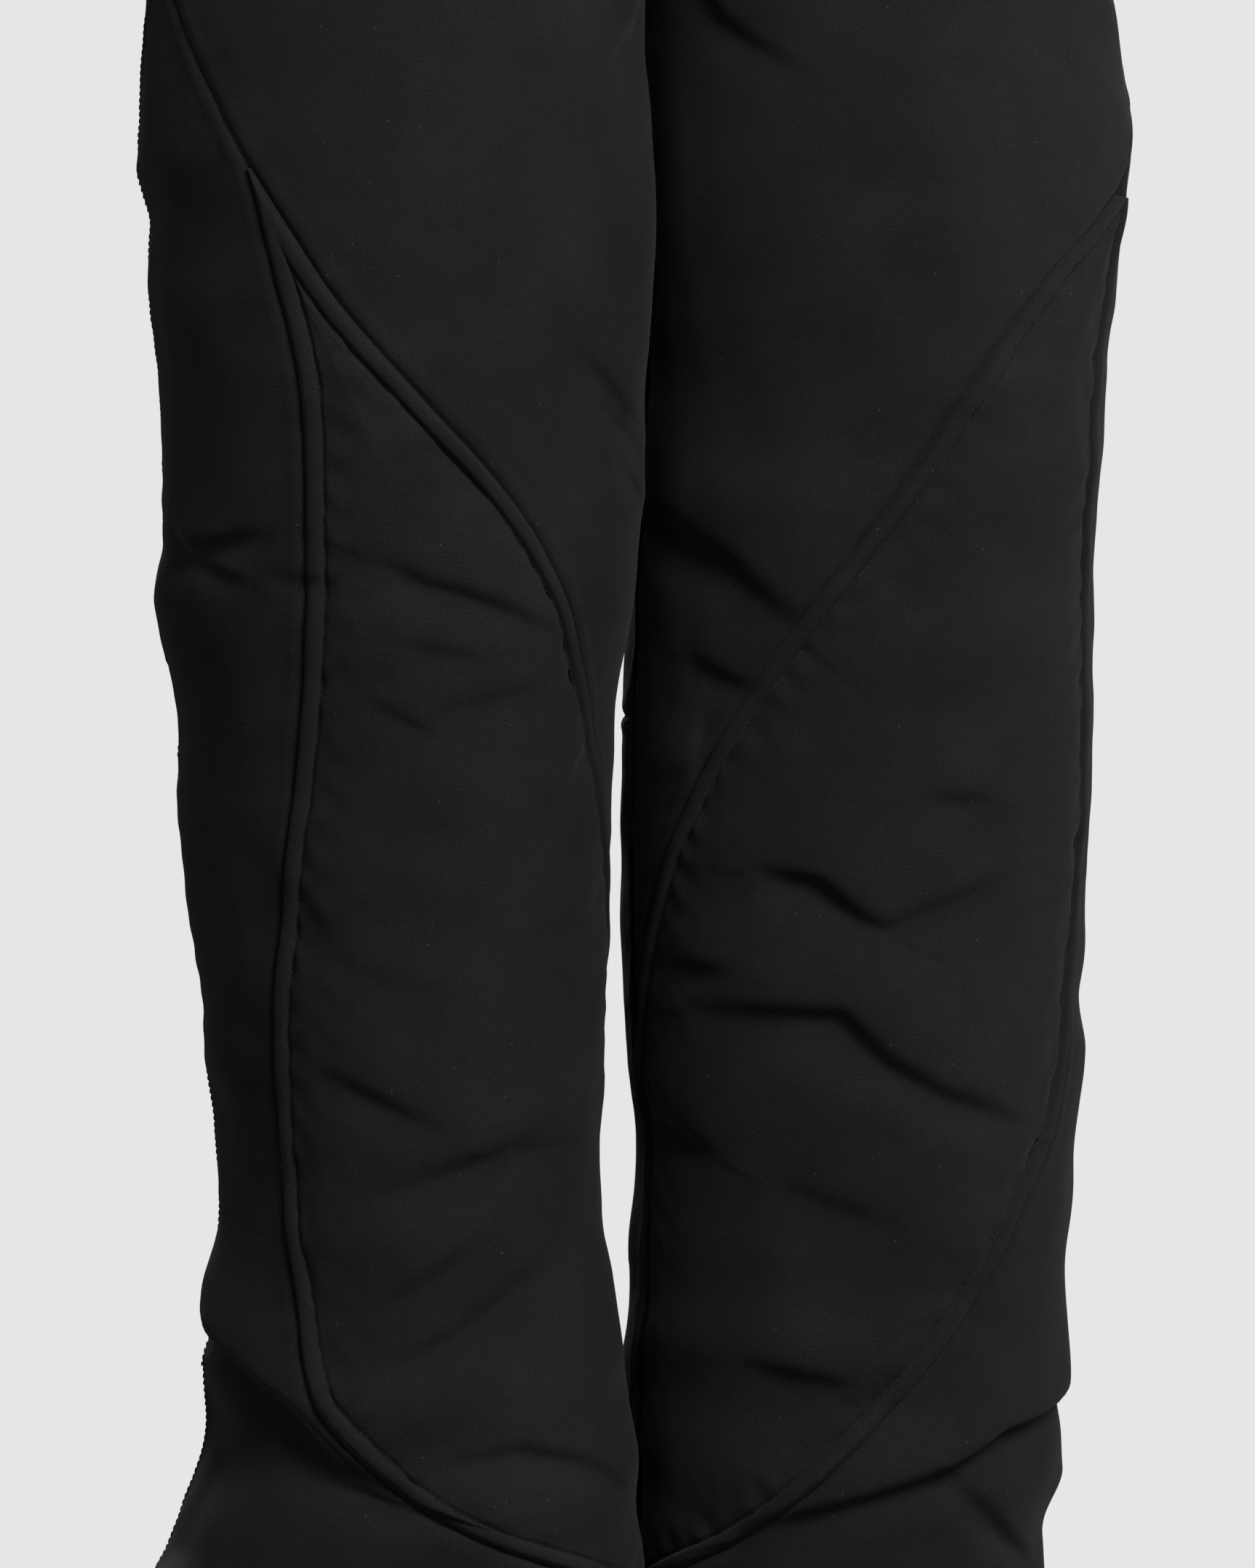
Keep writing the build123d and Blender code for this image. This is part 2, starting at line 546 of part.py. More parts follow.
with BuildPart() as waist_tab:
    with BuildSketch(tab_back):
        with Locations(((TAB_LEFT + TAB_RIGHT) / 2, 0)):
            Rectangle(TAB_LEFT - TAB_RIGHT, TAB_HEIGHT)
        with Locations((SNAP_X, 0)):
            Circle(SNAP_HOLE, mode=Mode.SUBTRACT)
    extrude(amount=TAB_THICKNESS)
    fillet(waist_tab.edges().filter_by(Axis.Y).group_by(Axis.X)[0], TAB_CORNER)
named(waist_tab.part, "waist_tab")
with BuildPart() as snap_cap:
    with BuildSketch(tab_back.offset(TAB_THICKNESS)):
        with Locations((SNAP_X, 0)):
            Circle(CAP_RADIUS)
    extrude(amount=CAP_HEIGHT)
    fillet(snap_cap.edges().group_by(Axis.Y)[0], CAP_ROUNDING)
named(snap_cap.part, "snap_cap")
with BuildPart() as snap_socket:
    with BuildSketch(tab_back.offset(SOCKET_RECESS)):
        with Locations((SNAP_X, 0)):
            Circle(SOCKET_OUTER)
            Circle(SOCKET_INNER, mode=Mode.SUBTRACT)
    extrude(amount=TAB_THICKNESS - SOCKET_RECESS)
named(snap_socket.part, "snap_socket")
with BuildPart() as snap_stud:
    with BuildSketch(band_front):
        with Locations((SNAP_X, 0)):
            Circle(STUD_RADIUS)
    extrude(amount=STUD_HEIGHT)
named(snap_stud.part, "snap_stud")
with BuildPart() as tab_anchor:
    with BuildSketch(band_front):
        with Locations(((ANCHOR_START + ANCHOR_END) / 2, 0)):
            Rectangle(ANCHOR_END - ANCHOR_START, TAB_HEIGHT)
    extrude(amount=TAB_CLEAR + TAB_THICKNESS)
named(tab_anchor.part, "tab_anchor")

LOOP_WIDTH, LOOP_HEIGHT, LOOP_THICKNESS, LOOP_STANDOFF = 11.0, 40.0, 1.2, 6.5
LOOP_GAP = 0.3  # the ends of a loop stand this far off the band
LOOP_SPREAD = 3.0  # degrees to each side that set how a loop faces
LOOP_ANGLES = (0.0, -180.0)
loop_planes = []
for side in ("right", "left"):
    for angle in LOOP_ANGLES:
        middle = -WAISTBAND_HEIGHT / 2
        base = in_space(side, middle, angle, -BAND_OUTSET - LOOP_GAP)
        top_point = in_space(side, 0, angle, -BAND_OUTSET)
        foot_point = in_space(side, -WAISTBAND_HEIGHT, angle, -BAND_OUTSET)
        up = (top_point - foot_point).normalized()
        tangent = in_space(side, middle, angle + LOOP_SPREAD) - in_space(side, middle, angle - LOOP_SPREAD)
        normal = up.cross(tangent).normalized()
        if normal.Y * base.Y < 0:
            normal = normal * -1
        loop_planes.append(Plane(origin=base, x_dir=up.cross(normal), z_dir=normal))
with BuildPart() as belt_loops:
    for plane in loop_planes:
        with BuildSketch(plane):
            Rectangle(LOOP_WIDTH, LOOP_HEIGHT)
        extrude(amount=LOOP_STANDOFF + LOOP_THICKNESS)
        with BuildSketch(plane):
            Rectangle(LOOP_WIDTH + OVERCUT, LOOP_HEIGHT - 4 * LOOP_THICKNESS)
        extrude(amount=LOOP_STANDOFF, mode=Mode.SUBTRACT)
named(belt_loops.part, "belt_loops")
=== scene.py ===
import json
import math

import bmesh
import bpy
import numpy as np
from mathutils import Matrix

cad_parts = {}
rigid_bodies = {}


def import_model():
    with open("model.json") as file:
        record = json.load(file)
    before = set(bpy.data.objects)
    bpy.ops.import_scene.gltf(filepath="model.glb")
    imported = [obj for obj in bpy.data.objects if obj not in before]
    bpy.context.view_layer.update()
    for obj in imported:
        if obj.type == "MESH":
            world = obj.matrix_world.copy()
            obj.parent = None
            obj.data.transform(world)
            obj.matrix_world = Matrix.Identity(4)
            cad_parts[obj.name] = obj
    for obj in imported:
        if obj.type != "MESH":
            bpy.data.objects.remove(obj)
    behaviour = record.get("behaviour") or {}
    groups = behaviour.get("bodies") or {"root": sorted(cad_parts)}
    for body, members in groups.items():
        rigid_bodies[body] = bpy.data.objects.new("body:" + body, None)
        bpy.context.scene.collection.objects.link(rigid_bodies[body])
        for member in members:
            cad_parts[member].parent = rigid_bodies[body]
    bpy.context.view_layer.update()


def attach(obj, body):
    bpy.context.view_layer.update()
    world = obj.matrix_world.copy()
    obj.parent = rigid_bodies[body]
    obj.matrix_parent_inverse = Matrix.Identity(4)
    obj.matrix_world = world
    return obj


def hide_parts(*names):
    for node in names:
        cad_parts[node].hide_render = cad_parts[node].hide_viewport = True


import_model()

MM = 0.001

# ---- the garment's surface, in millimetres as in part.py --------------------------------------------
CROTCH, HEM, APEX, TILT_ENDS, WAIST_TILT = -250.0, -1070.0, -300.0, -200.0, 5.0
BAND_HEIGHT, YOKE_SEAM, KNEE_BACK, FLY_BOTTOM, FRONT_TIP = 42.0, -112.0, -640.0, -173.0, -788.0
SEAM_GAP = 0.5
HIPS = [
    (0.0, 62, 0, 62, 84, 108, 106), (-42.0, 64, 0, 64, 92, 108, 112), (-110.0, 72, 0, 72, 107, 108, 127),
    (-160.0, 80, -1, 80, 114, 108, 136), (-200.0, 88, -3, 88, 117, 108, 139),
    (CROTCH, 103, -8, 102, 119, 110, 136),
]
LEGS = {
    "right": HIPS + [
        (-310.0, 111, -16, 110, 124, 112, 126), (-370.0, 114.5, -22, 113.5, 126, 112, 119),
        (-444.0, 117, -25, 115.5, 125, 110, 112), (-503.0, 117, -22, 113.8, 119, 108, 108),
        (-570.0, 116.5, -18, 110, 118, 106, 106), (-649.0, 115.5, -8, 101, 103, 104, 105),
        (-716.0, 114, -5, 96, 99, 102, 103), (-790.0, 112.5, -3, 91.7, 91.7, 99, 102),
        (-854.0, 111, 0, 87.5, 88, 98, 103), (-921.0, 110.5, 0, 95, 91.5, 101, 106),
        (-977.0, 110, -2, 102, 99, 103, 110), (-1040.0, 110, -8, 107, 122, 104, 113),
        (HEM, 110, -10, 108, 127, 105, 115),
    ],
    "left": HIPS + [
        (-310.0, 112, -16, 111, 123, 112, 126), (-370.0, 117, -24, 116, 123, 112, 119),
        (-444.0, 118, -25, 116.5, 112, 110, 112), (-503.0, 118, -22, 117, 111.5, 108, 110),
        (-570.0, 118, -16, 117.5, 109, 108, 109), (-649.0, 118, -8, 117.5, 111, 108, 109),
        (-716.0, 117, -5, 116, 112, 108, 109), (-790.0, 115, -3, 112, 109.5, 106, 108),
        (-854.0, 113, 0, 104, 107, 106, 108), (-921.0, 111, 2, 103.5, 104, 106, 108),
        (-977.0, 110, 5, 104, 105, 107, 110), (-1040.0, 110, 6, 105, 108, 108, 112),
        (HEM, 110, 6, 106, 112, 110, 114),
    ],
}
KNEE_SEAM = {
    "right": [(APEX, -82), (-336, -68), (-392, -50), (-425, -39), (-461, -27), (-505, -8), (-548, 12.5),
              (-593, 30), (-649, 46.5), (-705, 60), (-760, 76), (-808, 90)],
    "left": [(APEX, -84), (-345, -72), (-385, -57), (-407, -43), (-444, -21), (-481, -6), (-541, 14),
             (-593, 33), (-662, 58), (-723, 75), (-775, 86), (-808, 90)],
}
OUTER_SEAM = {
    "right": [(-392, -50), (-433, -44), (-503, -37), (-570, -36), (-649, -41.5), (-716, -48), (-790, -55.5),
              (-854, -56.5), (-921, -47), (-951, -40), (-977, -27), (-1014, 0), (-1036, 34), (-1060, 90)],
    "left": [(-385, -60), (-433, -56), (-503, -49), (-649, -50), (-716, -49), (-790, -47), (-827, -42),
             (-869, -30), (-917, -13.5), (-952, 2), (-983, 18.5), (-1022, 44), (-1060, 90)],
}
SIDE_SEAM = [(APEX, -84), (-320, -94), (-350, -101), (-450, -108), (-700, -110), (HEM, -112)]
POCKET_SEAM = [(-BAND_HEIGHT, -50), (-120, -58), (-200, -68), (APEX, -83)]
SIGN = {"right": -1, "left": 1}
INNER, BACK_INNER = 90.0, -270.0
KNEE_TOP, KNEE_BOTTOM = -396.0, -1050.0
FRONT_RISE_CURVE, BACK_RISE_CURVE = -172.0, -135.0  # where the midline starts to curve under
POCKET_SLOT = (-59.0, -226.0)
SLOT = 6.0

# Folds: (height, angle) points along the crease, then its depth, half width and the ridge above it.
# The front ones follow the photograph; the back, which it hides, has plausible ones.
FOLDS = {
    "right": [
        ([(-560, -86), (-566, -74), (-562, -46)], 4.5, 6, 2.5),
        ([(-568, -80), (-572, -70), (-584, -52)], 3, 5, 2),
        ([(-582, -46), (-583, -28)], 1.8, 6, 1.0), ([(-478, 28), (-502, 48), (-512, 66)], 3.0, 7, 1.5),
        ([(-502, 36), (-526, 72)], 3.0, 7, 1.5), ([(-526, 44), (-546, 72)], 2.5, 6, 1.5),
        ([(-572, -22), (-584, -10), (-588, -2), (-596, 10), (-604, 22)], 3.6, 8, 2.2),
        ([(-610, -16), (-618, 4)], 1.8, 7, 1.0), ([(-636, -24), (-655, -6)], 1.8, 7, 1.0),
        ([(-643, -8), (-626, 32)], 2.2, 9, 1.2), ([(-650, 46), (-688, 24)], 2.6, 8, 1.5),
        ([(-804, -42), (-832, -6)], 3.2, 9, 2.0), ([(-816, 46), (-840, 12), (-864, -26)], 4.0, 10, 2.6),
        ([(-838, 46), (-842, 18), (-868, 4)], 2.6, 8, 1.6), ([(-876, 10), (-916, -26)], 3.4, 9, 2.2),
        ([(-876, 46), (-902, 16), (-926, -4), (-944, -24)], 4.6, 10, 3.0),
        ([(-984, -8), (-978, 14), (-986, 34), (-1010, 62)], 3.5, 8, 2.2),
        ([(-918, -120), (-926, -104), (-940, -72), (-958, -52), (-982, -34), (-1000, -10)], 10, 10, 7.5),
        ([(-984, -48), (-994, -28), (-1012, 4)], 3.5, 6, 2.5),
        ([(-700, -60), (-760, -30), (-776, 4)], 1.6, 12, 1.0), ([(-730, 50), (-752, 10)], 1.6, 11, 1.0),
    ],
    "left": [
        ([(-546, 84), (-574, 54), (-604, 36)], 5.5, 12, 3.0), ([(-616, 66), (-631, 46)], 2.8, 7, 1.5),
        ([(-638, 60), (-674, 60)], 2.2, 7, 1.2), ([(-682, 6), (-683, -12)], 2.6, 8, 1.6),
        ([(-716, 44), (-720, 30), (-736, 20), (-743, 12)], 6.0, 9, 3.6),
        ([(-743, 16), (-730, 0), (-716, -18)], 3.4, 9, 2.0), ([(-758, 72), (-762, 48)], 3.0, 8, 1.6),
        ([(-780, 62), (-782, 24), (-802, 14), (-818, 0), (-836, -28)], 6.0, 10, 3.6),
        ([(-828, 80), (-848, 56)], 3.0, 8, 1.6), ([(-944, 48), (-955, 16)], 3.2, 9, 2.0),
        ([(-958, -84), (-966, -64), (-978, -26), (-994, -8), (-1003, 8), (-1014, 28), (-1024, 46)],
         8.5, 8, 5.0),
        ([(-994, -8), (-1006, -14), (-1026, -26), (-1044, -40)], 4.0, 7, 2.5),
        ([(-860, 40), (-884, 6)], 2.2, 10, 1.4), ([(-500, 10), (-520, -20)], 1.2, 12, 0.8),
    ],
}
BACK_FOLDS = [
    ([(-618, -112), (-632, -150), (-626, -200), (-640, -240)], 5.0, 9, 3.0),
    ([(-590, -140), (-600, -180), (-592, -225)], 4.0, 8, 2.4),
    ([(-664, -125), (-674, -170), (-666, -215)], 4.0, 8, 2.4),
    ([(-268, -238), (-292, -200), (-300, -160)], 5.0, 10, 3.0), ([(-300, -250), (-330, -215)], 3.5, 9, 2.0),
    ([(-900, -130), (-918, -180), (-906, -235)], 5.0, 9, 3.4),
    ([(-948, -118), (-962, -165), (-955, -225), (-966, -262)], 8.0, 9, 5.0),
    ([(-1000, -130), (-1014, -180), (-1004, -240)], 6.0, 8, 4.0),
    ([(-760, -140), (-790, -190), (-782, -230)], 2.5, 12, 1.6),
    ([(-262, 62), (-290, 40), (-306, 12)], 3.0, 9, 1.6), ([(-272, 74), (-320, 58), (-352, 34)], 3.0, 9, 1.6),
]

# Places where the worn cloth falls in: middle angle and half width, top and bottom, and depth.
HOLLOWS = {
    "right": [(-96, 34, -385, -590, 8.0), (-96, 34, -800, -905, 4.0), (-92, 30, -938, -1052, 10.0)],
    "left": [(-78, 30, -440, -800, 4.0), (-88, 36, -1000, -1200, 19.0)],
}


def along(table, height, column=1):
    """A smooth value between a table's rows, which run from the top down."""
    x = np.array([row[0] for row in table][::-1], float)
    y = np.array([row[column] for row in table][::-1], float)
    step = np.diff(y) / np.diff(x)
    slope = np.concatenate([[step[0]], np.zeros(len(x) - 2), [step[-1]]])
    a, b = step[:-1], step[1:]
    same = a * b > 0
    slope[1:-1][same] = 2 * a[same] * b[same] / (a[same] + b[same])
    h = np.clip(height, x[0], x[-1])
    i = np.clip(np.searchsorted(x, h, side="right") - 1, 0, len(x) - 2)
    width = x[i + 1] - x[i]
    t = (h - x[i]) / width
    return ((2 * t**3 - 3 * t**2 + 1) * y[i] + (t**3 - 2 * t**2 + t) * slope[i] * width
            + (3 * t**2 - 2 * t**3) * y[i + 1] + (t**3 - t**2) * slope[i + 1] * width)


def skin(side, height, angle, inset=0.0):
    """Points on the smooth garment, in millimetres: arrays of heights and angles to an array of points."""
    height, angle = np.broadcast_arrays(np.asarray(height, float), np.asarray(angle, float))
    centre, fore, inner, outer, front, back = (along(LEGS[side], height, c) for c in range(1, 7))
    s, c = np.abs(np.sin(np.radians(angle))), np.abs(np.cos(np.radians(angle)))
    at_front = (angle >= -90) & (angle <= 90)
    depth = np.where(at_front, front, back) - inset
    is_outer = (angle >= -180) & (angle <= 0)
    above = height > CROTCH
    starts = np.where(at_front, FRONT_RISE_CURVE, BACK_RISE_CURVE)
    drop = np.clip((starts - height) / (starts - CROTCH), 0, 1)
    middle = np.where(above, (depth + np.where(at_front, 2.0, 0.0)) * np.sqrt(1 - drop**2), 0.0)
    power = 1 + np.clip((height - CROTCH) / 60.0, 0, 1)
    reach_in = np.where(above, centre - SEAM_GAP, inner - inset)
    across = np.where(is_outer, centre + (outer - inset) * s, np.maximum(centre - reach_in * s, SEAM_GAP))
    reach = np.where(is_outer, depth * c, middle + (depth - middle) * c**power)
    y = fore + np.where(at_front, -reach, reach)
    share = np.clip((height - TILT_ENDS) / -TILT_ENDS, 0, 1)
    tilt = np.radians(WAIST_TILT * share * share * (3 - 2 * share))
    return np.stack([SIGN[side] * across, y, height + y * np.tan(tilt)], axis=-1)


def facing(side, height, angle, inset=0.0):
    """Outward unit normals of the smooth garment."""
    around = skin(side, height, angle + 0.6, inset) - skin(side, height, angle - 0.6, inset)
    down = skin(side, height + 1.0, angle, inset) - skin(side, height - 1.0, angle, inset)
    n = np.cross(around, down) * SIGN[side] * -1
    length = np.linalg.norm(n, axis=-1, keepdims=True)
    return n / np.maximum(length, 1e-6)


def mm_per_degree(side, height):
    """Millimetres round the leg for one degree, from the mean of the section's four reaches."""
    return sum(along(LEGS[side], height, c) for c in (3, 4, 5, 6)) / 4 * math.pi / 180


def ripple(points, seed, count, shortest, longest, lean=2.2):
    """Smooth seeded unevenness, with creases that run more across the leg than along it."""
    rng = np.random.default_rng(seed)
    total = np.zeros(points.shape[:-1])
    for _ in range(count):
        wave = rng.uniform(shortest, longest)
        way = rng.normal(size=3) * np.array([1.0, 1.0, lean])
        way = way / np.linalg.norm(way) * 2 * math.pi / wave
        total += np.sin(points @ way + rng.uniform(0, 2 * math.pi)) * wave / longest
    return total / math.sqrt(count)


USUAL_DEGREE = 1.85


def crease(side, height, angle, fold):
    """Outward movement and downward movement made by one fold: steep above the groove, long below it."""
    points, depth, width, ridge = fold
    k = mm_per_degree(side, height)
    line = np.array([(a, z) for z, a in points], float)
    best = np.full(height.shape, 1e9)
    place = np.zeros(height.shape)
    above = np.zeros(height.shape)
    lengths = np.hypot(np.diff(line[:, 0]) * USUAL_DEGREE, np.diff(line[:, 1]))
    run = np.concatenate([[0], np.cumsum(lengths)])
    for i in range(len(line) - 1):
        ax, az = line[i]
        bx, bz = line[i + 1]
        toward = 1.0 if bx >= ax else -1.0
        dx, dz = (bx - ax) * k, bz - az
        px, pz = (angle - ax) * k, height - az
        t = np.clip((px * dx + pz * dz) / (dx * dx + dz * dz), 0, 1)
        ox, oz = px - t * dx, pz - t * dz
        d = np.hypot(ox, oz)
        near = d < best
        best = np.where(near, d, best)
        place = np.where(near, (run[i] + t * lengths[i]) / run[-1], place)
        above = np.where(near, np.sign(dx * oz - dz * ox) * toward, above)
    fade = np.sin(np.pi * (0.94 * place + 0.03)) ** 0.85
    signed = best * above
    steep = np.where(signed > 0, 0.55, 1.45) * width
    groove = -0.8 * depth * np.exp(-((best / steep) ** 2))
    beyond = np.where(signed > 1.3 * width, 2.6, 1.0) * width
    lip = ridge * np.exp(-(((signed - 1.3 * width) / beyond) ** 2))
    return (groove + lip) * fade, lip * fade * 0.7


def calm(side, height, angle, points):
    """1 on free cloth, falling to 0 beside the zips, where stitching and tape hold the cloth flat."""
    beside = (angle - along(POCKET_SEAM, height)) * mm_per_degree(side, height) / 16
    pocket = np.exp(-(beside**2)) * np.clip((-45 - height) / 10, 0, 1) * np.clip((height + 245) / 15, 0, 1)
    fly = np.exp(-((points[..., 0] / 24) ** 2)) * (np.abs(angle) <= 90) * np.clip((height + 240) / 25, 0, 1)
    return (1 - pocket) * (1 - fly)


def relief(side, height, angle, points):
    """How far the worn cloth stands out of, and hangs below, the smooth garment."""
    out = 1.5 * ripple(points, 11, 14, 70, 170) + 0.6 * ripple(points, 12, 16, 24, 60)
    out = out * np.clip((-20 - height) / 90, 0.12, 1)
    low = np.clip((-880 - height) / 90, 0, 1)
    out = out + low * 2.2 * ripple(points, 13, 10, 42, 80, lean=5.0)
    for centre, reach, high, low, depth in HOLLOWS[side]:
        rise = np.clip((high - height) / 30, 0, 1) * np.clip((height - low) / 30, 0, 1)
        out = out - depth * np.exp(-(((angle - centre) / reach) ** 2)) * rise * rise * (3 - 2 * rise)
    sink = np.zeros(out.shape)
    for fold in FOLDS[side] + BACK_FOLDS:
        o, s = crease(side, height, angle, fold)
        out, sink = out + o, sink + s
    free = calm(side, height, angle, points)
    return out * free, sink * free


# ---- meshes -----------------------------------------------------------------------------------------
def mesh_of(name, points, quads, uv, material):
    """A smooth mesh of four-sided faces, from points in millimetres."""
    mesh = bpy.data.meshes.new(name)
    mesh.vertices.add(len(points))
    mesh.vertices.foreach_set("co", (points * MM).ravel())
    mesh.loops.add(quads.size)
    mesh.loops.foreach_set("vertex_index", quads.ravel())
    mesh.polygons.add(len(quads))
    mesh.polygons.foreach_set("loop_start", np.arange(0, quads.size, 4))
    mesh.polygons.foreach_set("use_smooth", np.ones(len(quads), bool))
    layer = mesh.uv_layers.new(name="cloth")
    layer.data.foreach_set("uv", uv[quads.ravel()].ravel())
    mesh.update(calc_edges=True)
    mesh.validate()
    mesh.materials.append(material)
    obj = bpy.data.objects.new(name, mesh)
    bpy.context.scene.collection.objects.link(obj)
    return obj


def mesh_from_grid(name, points, uv, material, closed=False, flip=False):
    """An open sheet, or a closed sleeve, from rows of points."""
    rows, cols = points.shape[:2]
    index = np.arange(rows * cols).reshape(rows, cols)
    right = np.roll(index, -1, axis=1) if closed else index[:, 1:]
    left = index if closed else index[:, :-1]
    quads = np.stack([left[:-1], right[:-1], right[1:], left[1:]], axis=-1).reshape(-1, 4)
    if flip:
        quads = quads[:, ::-1]
    return mesh_of(name, points.reshape(-1, 3), quads, uv.reshape(-1, 2), material)


def spread(count, crowd=0.55):
    """Column places from 0 to 1, closer together near both ends."""
    s = np.linspace(0, 1, count)
    return (1 - crowd) * s + crowd * 0.5 * (1 - np.cos(np.pi * s))


def slot_gap(side, height):
    """Half the pocket opening, in degrees, at the heights where the pocket is open."""
    inside = (height < POCKET_SLOT[0]) & (height > POCKET_SLOT[1])
    return np.where(inside, SLOT / mm_per_degree(side, height), 0.0)


def fixed(value):
    """An edge that keeps one angle."""
    return lambda h: np.full(np.shape(h), float(value))


def outer_line(side):
    """The seam outside the knee panel, and above it the seam that the panel's point runs into."""
    knee, outer = KNEE_SEAM[side], OUTER_SEAM[side]
    return lambda h: np.where(h < outer[0][0], along(outer, h), along(knee, h))


def front_edge(side):
    return lambda h: np.where(h > APEX, along(POCKET_SEAM, h) + slot_gap(side, h), along(KNEE_SEAM[side], h))


def back_edge(side):
    return lambda h: np.where(h > APEX, along(POCKET_SEAM, h) - slot_gap(side, h), along(SIDE_SEAM, h))


def fly_edge(side, off):
    """The inner front edge: a distance off the middle plane beside the fly, then the crotch seam."""
    def edge(h):
        centre = along(LEGS[side], h)
        cut = np.degrees(np.arcsin(np.clip((centre - off) / (centre - SEAM_GAP), -1, 1)))
        return np.where(h > FLY_BOTTOM, cut, INNER)
    return edge


WELT, QUILT_LINE = 8.3, 8.6  # a padded panel's flat edge, and the line stitched beside it
TUCK = 4.0
PANEL_CLEAR, LAYER_CLEAR = 0.3, 0.8  # cloth off the middle plane


class Panel:
    """A sewn panel: its seam lines, how far it stands out, and whether it is padded."""

    def __init__(self, side, top, bottom, start, stop, out=0.0, padded=False, ends=(True, True)):
        self.side, self.top, self.bottom, self.start, self.stop = side, top, bottom, start, stop
        self.out, self.padded, self.ends = out, padded, ends

    def width(self, height):
        return (self.stop(height) - self.start(height)) * mm_per_degree(self.side, height)

    def slant(self, line, height):
        """How much longer a seam line is than its drop, where it runs across the leg."""
        rate = (line(height + 2) - line(height - 2)) / 4 * mm_per_degree(self.side, height)
        return np.sqrt(1 + rate**2)

    def place(self, height, t):
        """Points, outward normals and angles at a height and a share of the way across."""
        height, t = np.broadcast_arrays(np.asarray(height, float), np.asarray(t, float))
        a0, a1 = self.start(height), self.stop(height)
        angle = a0 + (a1 - a0) * t
        width = np.abs(self.width(height))
        s0, s1 = self.slant(self.start, height), self.slant(self.stop, height)
        d0, d1 = t * width / s0, (1 - t) * width / s1
        d = np.minimum(d0, d1)
        if self.ends[0]:
            d = np.minimum(d, np.abs(self.top - height))
        if self.ends[1]:
            d = np.minimum(d, np.abs(height - self.bottom))
        smooth = skin(self.side, height, angle)
        normal = facing(self.side, height, angle)
        out, sink = relief(self.side, height, angle, smooth)
        if self.padded:
            band = 2.2 * np.sin(np.pi * np.clip(d / WELT, 0, 1)) ** 0.45
            stitch = -1.1 * np.exp(-(((d - QUILT_LINE) / 1.1) ** 2))
            inside = np.clip(d - QUILT_LINE, 0, None)
            puff = 4.6 * (1 - np.exp(-inside / 16.0))
            pucker = 0.95 * np.exp(-inside / 13.0) * (d > QUILT_LINE)
            wave = ripple(smooth, 21, 8, 8, 17, lean=1.6)
            profile = np.where(d < WELT, band, 0) + stitch + puff + pucker * wave
            profile = profile - 1.6 * np.exp(-((d / 1.3) ** 2))
            profile = profile + 0.35 * np.exp(-inside / 40.0) * ripple(smooth, 22, 10, 14, 34, lean=1.4)
        else:
            profile = -1.5 * np.exp(-((d / 1.6) ** 2)) + 0.5 * np.exp(-(((d - 5.5) / 3.2) ** 2))
            profile = profile + 0.35 * np.exp(-d / 16.0) * ripple(smooth, 23, 8, 9, 20, lean=1.6)
        profile = np.where(profile > 0, profile * calm(self.side, height, angle, smooth), profile)
        moved = smooth + normal * (self.out + profile + out)[..., None]
        moved[..., 2] -= sink
        k = SIGN[self.side]
        moved[..., 0] = k * np.maximum(k * moved[..., 0], PANEL_CLEAR)
        return moved, normal, angle

    def mesh(self, name, material, row_step=2.4, col_step=2.4):
        """The panel's mesh with its edges tucked under, its flat size and its area."""
        count = max(int((self.top - self.bottom) / row_step), 3)
        height = self.top + (self.bottom - self.top) * spread(count, 0.25)
        widest = np.abs(self.width(height)).max()
        t = spread(max(int(widest / col_step), 8))
        points, normal, angle = self.place(height[:, None], t[None, :])
        k = mm_per_degree(self.side, height)[:, None]
        uv = np.stack([angle * k * MM, np.broadcast_to(height[:, None], angle.shape) * MM], axis=-1)
        area = grid_area(skin(self.side, np.broadcast_to(height[:, None], angle.shape), angle))
        flat = (float(widest) * MM, (self.top - self.bottom) * MM)
        for axis in (1, 0):
            pull = normal * TUCK
            first, last = np.take(points, [0], axis), np.take(points, [-1], axis)
            p0, p1 = first - np.take(pull, [0], axis), last - np.take(pull, [-1], axis)
            points = np.concatenate([p0, points, p1], axis)
            normal = np.concatenate([np.take(normal, [0], axis), normal, np.take(normal, [-1], axis)], axis)
            u0, u1 = np.take(uv, [0], axis) + TUCK * MM, np.take(uv, [-1], axis) + TUCK * MM
            uv = np.concatenate([u0, uv, u1], axis)
        obj = mesh_from_grid(name, points, uv, material, flip=SIGN[self.side] > 0)
        return obj, flat, area

    def edge_points(self, which, inset, top=None, bottom=None):
        """Stitch places along one seam line, a fixed distance inside it."""
        top, bottom = top or self.top - 2, bottom or self.bottom + 2
        z = np.arange(top, bottom, -0.5)
        line = self.start if which == "start" else self.stop
        t = inset * self.slant(line, z) / np.maximum(np.abs(self.width(z)), 1.0)
        keep = t < 0.5
        z, t = z[keep], t[keep]
        points, normal, _ = self.place(z, t if which == "start" else 1 - t)
        return by_length(points, normal)

    def level_points(self, height):
        """Stitch places across the panel at one height."""
        t = np.linspace(0.02, 0.98, 900)
        points, normal, _ = self.place(np.full(t.shape, float(height)), t)
        return by_length(points, normal)


def joined(name, objects):
    """Several meshes as one object."""
    whole = bmesh.new()
    for obj in objects:
        whole.from_mesh(obj.data)
    mesh = objects[0].data.copy()
    mesh.name = name
    whole.to_mesh(mesh)
    whole.free()
    for obj in objects:
        bpy.data.objects.remove(obj)
    one = bpy.data.objects.new(name, mesh)
    bpy.context.scene.collection.objects.link(one)
    return one


PITCH, STITCH_LENGTH, STITCH_WIDTH, STITCH_HEIGHT = 3.2, 2.5, 0.55, 0.4


